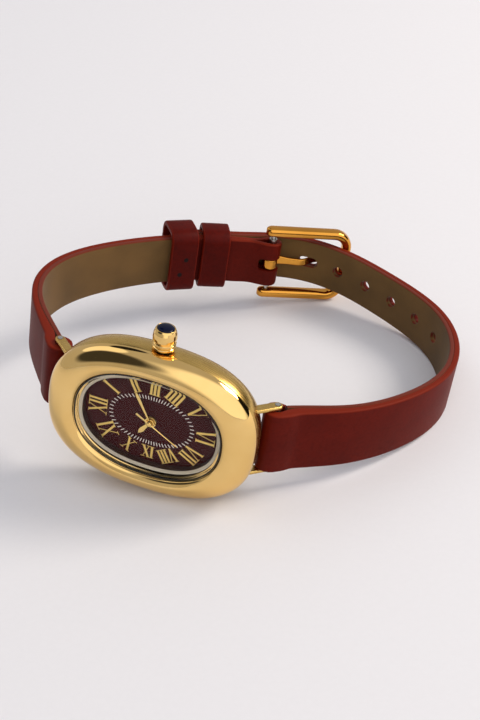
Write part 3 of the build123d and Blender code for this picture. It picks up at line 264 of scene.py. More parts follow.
def skin(rows: Sequence[Sequence[Triple]], loop: bool = False, edge: Sequence[Sequence[float]] | None = None,
         runs: Sequence[float] | None = None) -> bpy.types.Mesh:
    """Closed mesh over rings of places in metres, with its real sizes as a UV map.

    Args:
        rows: Rings with as many places each.
        loop: Whether the last ring joins the first; otherwise both ends are closed.
        edge: For each place how far it belongs to the painted edge.
        runs: Length in metres along the piece at each ring.

    Returns:
        The mesh.
    """
    net = np.array(rows, float)
    count, around = net.shape[:2]
    if runs is None:
        runs = np.concatenate(([0.0], np.cumsum(np.linalg.norm(np.diff(net.mean(axis=1), axis=0), axis=1))))
    girth = np.linalg.norm(np.diff(np.concatenate([net, net[:, :1]], axis=1), axis=1), axis=2).max(axis=0)
    rounds = np.concatenate(([0.0], np.cumsum(girth)))
    closing = np.linalg.norm(net[0].mean(axis=0) - net[-1].mean(axis=0))
    faces, marks = [], []
    for row in range(count if loop else count - 1):
        after = (row + 1) % count
        far = runs[after] if after else runs[row] + closing
        here, there = row * around, after * around
        for point in range(around):
            on = (point + 1) % around
            faces.append((here + point, here + on, there + on, there + point))
            marks += [(runs[row], rounds[point]), (runs[row], rounds[point + 1]),
                      (far, rounds[point + 1]), (far, rounds[point])]
    if not loop:
        faces.append(tuple(range(around))[::-1])
        faces.append(tuple((count - 1) * around + point for point in range(around)))
        marks += [(runs[0], rounds[point]) for point in reversed(range(around))]
        marks += [(runs[-1], rounds[point]) for point in range(around)]
    mesh = bpy.data.meshes.new("skin")
    mesh.from_pydata(net.reshape(-1, 3).tolist(), [], faces)
    layer = mesh.uv_layers.new(name="real_size")
    layer.data.foreach_set("uv", np.array(marks, np.float32).ravel())
    shares = mesh.attributes.new("painted_edge", "FLOAT", "POINT")
    if edge is not None:
        shares.data.foreach_set("value", np.array(edge, np.float32).ravel())
    return tidy(mesh)


def smooth(mesh: bpy.types.Mesh) -> bpy.types.Mesh:
    """The mesh, shaded smooth except at its sharp edges."""
    mesh.shade_smooth()
    mesh.set_sharp_from_angle(angle=math.radians(SMOOTH_ANGLE))
    return mesh


def tidy(mesh: bpy.types.Mesh) -> bpy.types.Mesh:
    """The mesh without doubles, with its faces turned outwards and shaded smooth."""
    work = bmesh.new()
    work.from_mesh(mesh)
    bmesh.ops.remove_doubles(work, verts=work.verts, dist=MERGE_GAP)
    bmesh.ops.dissolve_degenerate(work, dist=MERGE_GAP, edges=work.edges)
    bmesh.ops.recalc_face_normals(work, faces=work.faces)
    work.to_mesh(mesh)
    work.free()
    return smooth(mesh)


def joined(parts: Sequence[bpy.types.Mesh]) -> bpy.types.Mesh:
    """One mesh from several."""
    work = bmesh.new()
    for part in parts:
        work.from_mesh(part)
    mesh = bpy.data.meshes.new("joined")
    work.to_mesh(mesh)
    work.free()
    return smooth(mesh)


def evaluated(obj: bpy.types.Object) -> bpy.types.Mesh:
    """Plain mesh of an object with its modifiers, which are removed."""
    graph = bpy.context.evaluated_depsgraph_get()
    mesh = bpy.data.meshes.new_from_object(obj.evaluated_get(graph), depsgraph=graph)
    obj.modifiers.clear()
    return mesh


def scratch(mesh: bpy.types.Mesh) -> bpy.types.Object:
    """Object for a mesh that is still being worked on."""
    obj = bpy.data.objects.new("work", mesh)
    bpy.context.scene.collection.objects.link(obj)
    return obj


def cut(mesh: bpy.types.Mesh, tool: bpy.types.Mesh, operation: str = "DIFFERENCE") -> bpy.types.Mesh:
    """Mesh after a boolean with a tool mesh.

    Args:
        mesh: What is worked on.
        tool: What is cut away or added.
        operation: DIFFERENCE or UNION.

    Returns:
        The new mesh.
    """
    body, cutter = scratch(mesh), scratch(tool)
    step = body.modifiers.new("cut", "BOOLEAN")
    step.object, step.operation, step.solver = cutter, operation, "EXACT"
    made = evaluated(body)
    bpy.data.objects.remove(body)
    bpy.data.objects.remove(cutter)
    return smooth(made)


def ways(axis: Vector, steps: int) -> list[Vector]:
    """Directions square to an axis, evenly round it."""
    side = axis.orthogonal().normalized()
    cross = axis.cross(side)
    turns = (2 * math.pi * step / steps for step in range(steps))
    return [side * math.cos(turn) + cross * math.sin(turn) for turn in turns]


def turned(profile: Sequence[Pair], foot: Vector, axis: Vector,
           steps: int = 64) -> bpy.types.Mesh:
    """Solid turned on an axis.

    Args:
        profile: Closed outline of (radius, height along the axis).
        foot: Place of the axis at height zero, in millimetres of (x, depth, z).
        axis: Direction of the axis in the same terms.
        steps: Parts of the circle.

    Returns:
        The mesh.
    """
    rows = [[in_row(*(foot + out * radius + axis * height)) for radius, height in profile]
            for out in ways(axis, steps)]
    return skin(rows, loop=True)


def pin(foot: Vector, axis: Vector, radius: float, length: float, steps: int = 40) -> bpy.types.Mesh:
    """Round tool mesh, in millimetres of (x, depth, z)."""
    outs = ways(axis, steps)
    rows = [[in_row(*(foot + axis * height + out * radius)) for out in outs] for height in (0.0, length)]
    return skin(rows)


# Nodes


def linear(colour: str) -> tuple[float, float, float, float]:
    """Linear colour from an sRGB hex value."""
    channels = (int(colour[place : place + 2], 16) / 255 for place in (1, 3, 5))
    return (*(part / 12.92 if part <= 0.04045 else ((part + 0.055) / 1.055) ** 2.4 for part in channels), 1.0)


class Nodes:
    """Short ways to add nodes to one tree; where a node is given as a value, its first output counts."""

    def __init__(self, tree: bpy.types.NodeTree) -> None:
        """Takes the tree that gets the nodes."""
        self.tree = tree

    def feed(self, node: Any, feeds: dict[int | str, Any]) -> None:
        """Feeds inputs, by place or name, with values, sockets, nodes or hex colours."""
        for key, value in feeds.items():
            target = node.inputs[key] if isinstance(key, int) else next(
                socket for socket in node.inputs if socket.name == key and socket.enabled
            )
            source = value.outputs[0] if isinstance(value, bpy.types.Node) else value
            if isinstance(source, bpy.types.NodeSocket):
                self.tree.links.new(source, target)
            else:
                target.default_value = linear(source) if isinstance(source, str) else source

    def add(self, kind: str, feeds: dict[int | str, Any] | None = None, **settings: Any) -> Any:
        """Adds a node with its settings and feeds."""
        made = self.tree.nodes.new(kind)
        for name, value in settings.items():
            setattr(made, name, value)
        self.feed(made, feeds or {})
        return made

    def math(self, operation: str, *values: Any) -> Any:
        """Sum on up to three values."""
        return self.add("ShaderNodeMath", dict(enumerate(values)), operation=operation)

    def scaled(self, vector: Any, scale: float) -> Any:
        """Vector times a number."""
        return self.add("ShaderNodeVectorMath", {0: vector, "Scale": scale}, operation="SCALE")

    def span(self, value: Any, *ends: float, **settings: Any) -> Any:
        """Value moved from a low and a high end to two new ones, or else to 0 and 1."""
        return self.add("ShaderNodeMapRange", dict(enumerate((value, *ends))), **settings)

    def blend(self, share: Any, low: Any, high: Any, clamp: bool = True) -> Any:
        """Number between two numbers."""
        return self.add("ShaderNodeMix", {0: share, 2: low, 3: high}, data_type="FLOAT", clamp_factor=clamp)

    def mix(self, share: Any, low: Any, high: Any) -> Any:
        """Colour between two colours."""
        return self.add("ShaderNodeMix", {0: share, 6: low, 7: high}, data_type="RGBA").outputs[2]

    def place(self) -> Any:
        """Place on the piece."""
        return self.add("ShaderNodeTexCoord").outputs["Object"]

    def noise(self, vector: Any, size: float, detail: float = 2.0, roughness: float = 0.5) -> Any:
        """Soft noise with lumps of a size in millimetres."""
        return self.add("ShaderNodeTexNoise", {
            "Vector": vector, "Scale": 1 / (size * MM), "Detail": detail, "Roughness": roughness,
        })

    def relief(self, height: Any, strength: float, depth: float, **settings: Any) -> Any:
        """Surface direction of a relief with a depth in millimetres."""
        return self.add(
            "ShaderNodeBump", {"Height": height, "Strength": strength, "Distance": depth * MM}, **settings
        )

    def oval_reach(self, parts: Sequence[Any], power: Any) -> Any:
        """Reach of a squared-off oval for the two parts of a direction, each divided by its half size."""
        raised = [self.math("POWER", self.math("ABSOLUTE", part), power) for part in parts]
        return self.math("POWER", self.math("ADD", *raised), self.math("DIVIDE", -1.0, power))


class Growth(Nodes):
    """Geometry tree with named inputs that grows a mesh from a base mesh and gives it a material."""

    def __init__(self, name: str, inputs: dict[str, str]) -> None:
        """Makes the tree.

        Args:
            name: Name of the tree.
            inputs: Socket type of each input between the geometry and the material.
        """
        super().__init__(bpy.data.node_groups.new(name, "GeometryNodeTree"))
        for label, kind in {"Geometry": "Geometry", **inputs, "Material": "Material"}.items():
            self.tree.interface.new_socket(name=label, in_out="INPUT", socket_type=f"NodeSocket{kind}")
        self.tree.interface.new_socket(name="Geometry", in_out="OUTPUT", socket_type="NodeSocketGeometry")
        self.given = self.tree.nodes.new("NodeGroupInput").outputs

    def ended(self, shape: Any) -> "Growth":
        """The tree, ended in real geometry with its material."""
        real = self.add("GeometryNodeRealizeInstances", {0: shape})
        dressed = self.add("GeometryNodeSetMaterial", {"Geometry": real, "Material": self.given["Material"]})
        self.add("NodeGroupOutput", {0: dressed})
        return self

    def grow(self, base: bpy.types.Mesh, values: dict[str, Any]) -> bpy.types.Mesh:
        """Runs the tree on a base mesh.

        Args:
            base: Mesh that the tree starts from.
            values: Value of each named input.

        Returns:
            The resulting plain mesh.
        """
        obj = scratch(base)
        step = obj.modifiers.new("grow", "NODES")
        step.node_group = self.tree
        for socket in self.tree.interface.items_tree:
            if socket.in_out == "INPUT" and socket.name in values:
                step[socket.identifier] = values[socket.name]
        mesh = evaluated(obj)
        bpy.data.objects.remove(obj)
        return tidy(mesh)


def oval_shell_tree() -> Growth:
    """Tree that carries a profile round a squared-off oval; its x runs from an inner to an outer oval."""
    sizes = [f"{where} {size}" for where in ("Inner", "Outer") for size in OVAL_SIZES]
    tree = Growth("oval_shell", {**{size: "Float" for size in sizes}, "Segments": "Int"})
    given = tree.given
    size = tree.add("GeometryNodeAttributeDomainSize", {"Geometry": given["Geometry"]})
    count = size.outputs["Point Count"]
    columns = tree.math("ADD", given["Segments"], 1.0)
    grid = tree.add("GeometryNodeMeshGrid", {"Vertices X": columns, "Vertices Y": count})
    middle = tree.math("ADD", tree.add("GeometryNodeInputIndex"), 0.5)
    column = tree.math("FLOOR", tree.math("DIVIDE", middle, count))
    row = tree.math("FLOOR", tree.math("MODULO", middle, count))
    turn = tree.math("MULTIPLY", tree.math("DIVIDE", column, given["Segments"]), 2 * math.pi)
    point = tree.add("GeometryNodeSampleIndex", {
        "Geometry": given["Geometry"], "Value": tree.add("GeometryNodeInputPosition"), "Index": row,
    }, data_type="FLOAT_VECTOR", domain="POINT")
    parts = tree.add("ShaderNodeSeparateXYZ", {0: next(item for item in point.outputs if item.enabled)})
    length, width, power = (
        tree.blend(parts.outputs["X"], given[f"Inner {size}"], given[f"Outer {size}"], clamp=False)
        for size in OVAL_SIZES
    )
    across, up = tree.math("COSINE", turn), tree.math("SINE", turn)
    reach = tree.oval_reach((across, up), power)
    x, z = (
        tree.math("MULTIPLY", tree.math("MULTIPLY", part, reach), size)
        for part, size in ((across, length), (up, width))
    )
    place = tree.add("ShaderNodeCombineXYZ", {0: x, 1: parts.outputs["Y"], 2: z})
    moved = tree.add("GeometryNodeSetPosition", {"Geometry": grid, "Position": tree.scaled(place, MM)})
    return tree.ended(tree.add("GeometryNodeMergeByDistance", {"Geometry": moved, "Distance": MM * 0.002}))


def minute_marks_tree() -> Growth:
    """Tree that sets a block at each minute of an oval track, pointing away from the middle."""
    floats = dict.fromkeys((*OVAL_SIZES, "Front"), "Float")
    tree = Growth("minute_marks", {"Count": "Int", **floats, "Mark": "Vector"})
    given = tree.given
    share = tree.math("DIVIDE", tree.add("GeometryNodeInputIndex"), given["Count"])
    turn = tree.math("MULTIPLY_ADD", share, -2 * math.pi, math.pi)
    across, up = tree.math("COSINE", turn), tree.math("SINE", turn)
    ratios = [tree.math("DIVIDE", part, given[size]) for part, size in ((across, "Length"), (up, "Width"))]
    reach = tree.oval_reach(ratios, given["Power"])
    x, z = (tree.math("MULTIPLY", part, reach) for part in (across, up))
    place = tree.add("ShaderNodeCombineXYZ", {0: x, 1: given["Front"], 2: z})
    points = tree.add("GeometryNodePoints", {0: given["Count"]})
    placed = tree.add("GeometryNodeSetPosition", {"Geometry": points, "Position": tree.scaled(place, MM)})
    block = tree.add("GeometryNodeMeshCube", {"Size": tree.scaled(given["Mark"], MM)})
    rotation = tree.add("ShaderNodeCombineXYZ", {1: tree.math("SUBTRACT", math.pi / 2, turn)})
    marks = {"Points": placed, "Instance": block, "Rotation": rotation}
    return tree.ended(tree.add("GeometryNodeInstanceOnPoints", marks))


# Finishes


@dataclass(frozen=True)
class Finish:
    """A surface of the watch; the sizes of its pattern are in millimetres."""

    name: str
    colour: str
    roughness: float

    def material(self) -> bpy.types.Material:
        """The finish's material, made when it is first asked for."""
        found = bpy.data.materials.get(self.name)
        if found is None:
            found = bpy.data.materials.new(self.name)
            found.use_nodes = True
            nodes, shader = Nodes(found.node_tree), found.node_tree.nodes["Principled BSDF"]
            nodes.feed(shader, {"Base Color": self.colour, "Roughness": self.roughness})
            self.dress(nodes, shader)
        return found

    def dress(self, nodes: Nodes, shader: Any) -> None:
        """Adds the finish's pattern to its shader."""
        raise NotImplementedError

    def dulled(self, nodes: Nodes, marks: Any, less: float, more: float) -> Any:
        """Roughness that follows marks, from so much less than the finish's own to so much more."""
        return nodes.span(marks, *NOISE_ENDS, max(self.roughness - less, 0.01), self.roughness + more)


@dataclass(frozen=True)
class Metal(Finish):
    """Worked metal: a shine broken by fine marks; stretch draws them out along the case."""

    grain: float = 0.6
    stretch: Triple = (1.0, 1.0, 1.0)
    spread: float = 0.04
    depth: float = 0.0006
    shade: str = ""
    metallic: float = 1.0

    def dress(self, nodes: Nodes, shader: Any) -> None:
        """Varies the roughness and the surface by fine marks, and the colour by wide soft stains."""
        place = nodes.place()
        drawn = nodes.add("ShaderNodeMapping", {"Vector": place, "Scale": self.stretch})
        marks, stains = nodes.noise(drawn, self.grain, 4.0), nodes.noise(place, self.grain * 8)
        nodes.feed(shader, {
            "Metallic": self.metallic,
            "Roughness": self.dulled(nodes, marks, self.spread, self.spread),
            "Normal": nodes.relief(marks, 0.6, self.depth),
            "Base Color": nodes.mix(stains, self.colour, self.shade or self.colour),
        })


@dataclass(frozen=True)
class Hide(Finish):
    """Leather whose cut edges are painted."""

    dark: str
    edge: str

    def painted(self, nodes: Nodes, face: Any) -> Any:
        """Colour of the faces, and of the paint where the mesh is marked as edge."""
        share = nodes.add("ShaderNodeAttribute", attribute_name="painted_edge").outputs["Fac"]
        return nodes.mix(share, face, self.edge)


@dataclass(frozen=True)
class Leather(Hide):
    """Smooth dyed calf leather with a fine grain, darker in its creases, and painted edges."""

    grain: float = 0.42
    pores: float = 0.09

    def dress(self, nodes: Nodes, shader: Any) -> None:
        """Grain cells and pores on the faces, a smoother paint on the edges."""
        place = nodes.add("ShaderNodeUVMap", uv_map="real_size")
        bend = nodes.noise(place, self.grain * 3).outputs["Color"]
        shaken = nodes.add("ShaderNodeVectorMath", {0: place, 1: nodes.scaled(bend, self.grain * 0.9 * MM)},
                           operation="ADD")
        cells = nodes.add("ShaderNodeTexVoronoi", {"Vector": shaken, "Scale": 1 / (self.grain * MM)},
                          feature="SMOOTH_F1").outputs["Distance"]
        pores = nodes.noise(place, self.pores, 3.0)
        face = nodes.mix(nodes.noise(place, 7, 3.0), self.colour, self.dark)
        grained = nodes.mix(nodes.span(cells, 0.35, 0.8, 0.0, 0.45), face, self.dark)
        nodes.feed(shader, {
            "Normal": nodes.relief(nodes.math("ADD", cells, pores), 0.35, 0.03, invert=True),
            "Base Color": self.painted(nodes, grained),
            "Roughness": self.dulled(nodes, pores, 0.05, 0.07),
            "IOR": 1.33,
            "Specular IOR Level": 0.14,
            "Sheen Weight": 0.1,
            "Sheen Roughness": 0.35,
            "Sheen Tint": "#c8502a",
        })


@dataclass(frozen=True)
class Suede(Hide):
    """Napped lining leather: dull, with a short pile that lightens at a slant, and painted edges."""

    nap: float = 0.12

    def dress(self, nodes: Nodes, shader: Any) -> None:
        """Pile and rubbed patches on the faces, paint on the edges."""
        place = nodes.add("ShaderNodeUVMap", uv_map="real_size")
        pile = nodes.noise(place, self.nap, 5.0, 0.7)
        amount = nodes.math("MULTIPLY", pile, nodes.noise(place, 9, 4.0))
        face = nodes.mix(nodes.span(amount, 0.05, 0.45), self.dark, self.colour)
        nodes.feed(shader, {
            "Base Color": self.painted(nodes, face),
            "Normal": nodes.relief(pile, 0.5, 0.04),
            "Specular IOR Level": 0.2,
            "Sheen Weight": 0.1,
            "Sheen Roughness": 0.5,
        })


@dataclass(frozen=True)
class SunrayLacquer(Finish):
    """Dial brushed in rays from its middle under a thin clear lacquer; the rays' lighter streaks are painted
    sheen of the brushing.
    """

    dark: str
    rays: float = 90.0

    def dress(self, nodes: Nodes, shader: Any) -> None:
        """Rays that vary by bearing only, the brushing's pattern with its sheen painted into the colour,
        under a faint clear coat.
        """
        parts = nodes.add("ShaderNodeSeparateXYZ", {0: nodes.place()})
        bearing = nodes.math("ARCTAN2", parts.outputs["Z"], parts.outputs["X"])
        rays = nodes.add("ShaderNodeTexNoise", {"W": bearing, "Scale": self.rays, "Detail": 3.0},
                         noise_dimensions="1D")
        # Painted sheen: the colour runs from dark to light along the brushed rays
        nodes.feed(shader, {
            "Base Color": nodes.mix(rays, self.dark, self.colour),
            "Roughness": self.dulled(nodes, rays, 0.06, 0.06),
            "Metallic": 0.1,
            "Specular IOR Level": 0.06,
            "Coat Weight": 0.05,
            "Coat Roughness": 0.02,
        })


@dataclass(frozen=True)
class Coated(Finish):
    """Plain coloured surface, such as print, enamel, plastic or rubber, with fine unevenness."""

    grain: float = 0.3
    coat: float = 0.0
    ior: float = 1.5
    shade: str = ""
    depth: float = 0.004

    def dress(self, nodes: Nodes, shader: Any) -> None:
        """Fine unevenness in roughness, colour and height."""
        marks = nodes.noise(nodes.place(), self.grain, 4.0)
        nodes.feed(shader, {
            "Roughness": self.dulled(nodes, marks, 0.05, 0.05),
            "Base Color": nodes.mix(marks, self.colour, self.shade or self.colour),
            "Normal": nodes.relief(marks, 0.3, self.depth),
            "IOR": self.ior,
            "Coat Weight": self.coat,
            "Coat Roughness": 0.03,
        })


@dataclass(frozen=True)
class RingEnamelWithPaintedShade(Coated):
    """Enamelled ring round the dial: pale on its sloped front, with painted shade on the wall behind it."""

    # Painted shade: the wall behind the front is coloured dark for the shadow that lies in it
    wall: str = "#2c1813"
    front: float = 5.2

    def dress(self, nodes: Nodes, shader: Any) -> None:
        """The plain enamel, with painted shade darkening the wall behind the front."""
        super().dress(nodes, shader)
        pale = shader.inputs["Base Color"].links[0].from_socket
        parts = nodes.add("ShaderNodeSeparateXYZ", {0: nodes.place()})
        # Painted shade: everything behind the front takes the dark wall colour
        behind = nodes.math("GREATER_THAN", parts.outputs["Y"], -self.front * MM)
        nodes.feed(shader, {"Base Color": nodes.mix(behind, pale, self.wall)})


@dataclass(frozen=True)
class WoundWire(Finish):
    """Enamelled wire wound close: turns a wire's width apart, drawn as coarse as they need to show."""

    wire: float = 0.12

    def dress(self, nodes: Nodes, shader: Any) -> None:
        """Bands along the coil, one for each turn that shows."""
        turns = nodes.add("ShaderNodeTexWave", {
            "Vector": nodes.place(), "Scale": 1 / (self.wire * MM) / (2 * math.pi),
        }, bands_direction="Z").outputs["Fac"]
        nodes.feed(shader, {"Normal": nodes.relief(turns, 0.8, self.wire / 3), "Metallic": 1.0})


@dataclass(frozen=True)
class ClearGlass(Finish):
    """Polished glass with an index below glass's own, so that it mirrors as little as coated glass does."""

    ior: float = 1.15

    def dress(self, nodes: Nodes, shader: Any) -> None:
        """Clear glass for what is seen; shadow rays pass straight through it to the dial."""
        nodes.feed(shader, {"IOR": self.ior, "Transmission Weight": 1.0})
        clear = nodes.add("ShaderNodeBsdfTransparent")
        path = nodes.add("ShaderNodeLightPath").outputs["Is Shadow Ray"]
        mixed = nodes.add("ShaderNodeMixShader", {0: path, 1: shader, 2: clear})
        nodes.feed(nodes.tree.nodes["Material Output"], {"Surface": mixed})


# Gold plating polished on a felt wheel: near-mirror, only hairlines dull it
POLISHED_GOLD = Metal("polished_gold_plating", "#f4d08a", 0.05, grain=0.5, spread=0.02, depth=0.0003,
                      shade="#e8bd70")
# The same plating brushed round the case: wide soft reflections, drawn out along the band
SATIN_GOLD = Metal("brushed_gold_plating", "#dcb86e", 0.26, grain=0.16, stretch=(0.06, 1.0, 0.06),
                   depth=0.0008, shade="#bf9c55")
# Cast and tumbled gold-plated brass: slightly softer and deeper than the case
BUCKLE_GOLD = Metal("tumbled_gold_plating", "#e3a347", 0.13, grain=0.7, depth=0.001, shade="#d08f36")
# Diamond-cut gilt brass: bright with crisp lines
HAND_GOLD = Metal("diamond_cut_gilt_brass", "#f4d58a", 0.16, grain=0.2, depth=0.0005, shade="#ecc872")
# Gilt transfer print: flat metal powder in lacquer
GILT_PRINT = Metal("gilt_transfer_print", "#efd27a", 0.38, grain=0.05, spread=0.08, depth=0.001,
                   shade="#dcb75c", metallic=0.55)
# White pad-printing ink: matt and a little grey
WHITE_PRINT = Coated("white_pad_print", "#ece6dc", 0.55, grain=0.06)
# Burgundy sunray dial under thin lacquer: deep red whose brushed rays carry painted sheen, lighter in
# streaks, with hardly any mirror
DIAL_LACQUER = SunrayLacquer("sunray_burgundy_lacquer_painted_sheen", "#451012", 0.36, dark="#1c0506")
# Pale enamelled ring: smooth, slightly warm, with a soft shine; its wall is painted dark as shade and shows
# as a line
RING_ENAMEL_AND_PAINTED_SHADE = RingEnamelWithPaintedShade("grey_ring_enamel_with_painted_shade", "#cdc1a8", 0.35, grain=0.25, shade="#bdb098")
# Black nylon gasket: dull and dark
DARK_GASKET = Coated("black_nylon_gasket", "#15130f", 0.5, grain=0.2, shade="#1d1a15")
# Polished blue-black stone: deep, glassy
CABOCHON_BLUE = Coated("polished_blue_stone", "#05081a", 0.06, grain=0.8, ior=1.25, shade="#0a1130",
                       depth=0.0)
# Mineral glass, coated and polished clear: it shows by its edge and a faint mirror
CRYSTAL_GLASS = ClearGlass("mineral_glass", "#ffffff", 0.0)
# Calf leather dyed oxblood, with brick-red edge paint
LEATHER_RED = Leather("oxblood_calf_leather", "#641509", 0.46, dark="#430a04", edge="#701f0d")
# Keeper bands cut from the same hide, a little darker and coarser in the grain
KEEPER_RED = Leather("keeper_calf_leather", "#5c0d04", 0.44, dark="#340502", edge="#661507", grain=0.5)
# Nubuck lining, olive-tan and rubbed darker
LINING = Suede("tan_nubuck_lining", "#77572d", 0.85, dark="#4c381b", edge="#66200d")
# Waxed dark thread ends
DARK_THREAD = Coated("waxed_dark_thread", "#0d0303", 0.85, grain=0.05, ior=1.3, shade="#160605")
# Ground steel: cool grey with a fine grain
STEEL = Metal("ground_steel", "#c4c3bf", 0.28, grain=0.12, shade="#b2b1ad")
# Lapped brass: warm and half dull, for the plate and the wheels
BRASS = Metal("lapped_brass", "#d8b266", 0.32, grain=0.1, shade="#c59c50")
# Nickel-plated brass: pale warm silver
NICKEL = Metal("nickel_plated_brass", "#cbc6ba", 0.26, grain=0.15, shade="#b8b3a6")
# Drawn steel cans: brighter, with marks drawn out along them
BATTERY_STEEL = Metal("drawn_battery_steel", "#d2d2ce", 0.3, grain=0.3, stretch=(0.2, 1.0, 1.0),
                      shade="#bfbfba")
# Sintered magnet: dark dull grey
MAGNET = Coated("sintered_magnet", "#3c3b3f", 0.5, grain=0.04, shade="#2c2b30")
# Annealed soft iron: dull mid grey
IRON = Metal("annealed_soft_iron", "#9a9b9d", 0.45, grain=0.08, shade="#838487")
# Moulded nylon: off-white and dull
HOLDER = Coated("moulded_nylon_holder", "#e4e0d4", 0.5, grain=0.15, shade="#d8d3c6")
# Solder mask: green under a thin gloss
BOARD = Coated("green_solder_mask", "#1d5a38", 0.35, grain=0.4, coat=0.3, shade="#2b7148")
# Enamelled copper wire: a coppery band for each turn
WIRE = WoundWire("enamelled_copper_wire", "#b4602e", 0.35)
# Matt coated paper under the watch, a little lavender, with a faint tooth
FLOOR_PAPER = Coated("matt_paper_sheet", "#e6e6ea", 0.75, grain=0.8, shade="#e3e3e7")


# Pieces


@dataclass(frozen=True)
class Tag:
    """What a finished mesh is: its name, body, the solids that it stands for, and its material slot."""

    name: str
    body: str
    nodes: tuple[str, ...]
    slot: str


def hand_over(mesh: bpy.types.Mesh, tag: Tag, finish: Finish) -> None:
    """Makes a finished piece from its mesh.

    Args:
        mesh: The piece's mesh, in place.
        tag: What the piece is.
        finish: What its surface is.
    """
    obj = bpy.data.objects.new(tag.name, mesh)
    mesh.name = tag.name
    bpy.context.scene.collection.objects.link(obj)
    mesh.materials.clear()
    mesh.materials.append(finish.material())
    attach(obj, tag.body)
    if tag.nodes:
        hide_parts(*tag.nodes)
    log.info("%s: %d faces in %s", tag.name, len(mesh.polygons), finish.name)


@dataclass
class OvalShell:
    """Profile carried round the watch between two ovals; it gives (millimetres out, depth)."""

    inner: Oval
    outer: Oval
    profile: Sequence[Pair]
    segments: int = 160

    def mesh(self, tree: Growth, finish: Finish) -> bpy.types.Mesh:
        """The shell's mesh."""
        span = self.outer.half_length - self.inner.half_length
        ring = [*self.profile, self.profile[0]]
        base = bpy.data.meshes.new("profile")
        base.from_pydata([(out / span, depth - BACK_FACE_DEPTH, 0) for out, depth in ring],
                         [(index, index + 1) for index in range(len(ring) - 1)], [])
        values = {"Segments": self.segments, "Material": finish.material()}
        for where, oval in (("Inner", self.inner), ("Outer", self.outer)):
            sizes = (oval.half_length, oval.half_width, oval.power)
            values |= {f"{where} {size}": value for size, value in zip(OVAL_SIZES, sizes)}
        return tree.grow(base, values)

    def piece(self, tree: Growth, tag: Tag, finish: Finish) -> None:
        """Makes a finished piece of the shell."""
        hand_over(self.mesh(tree, finish), tag, finish)


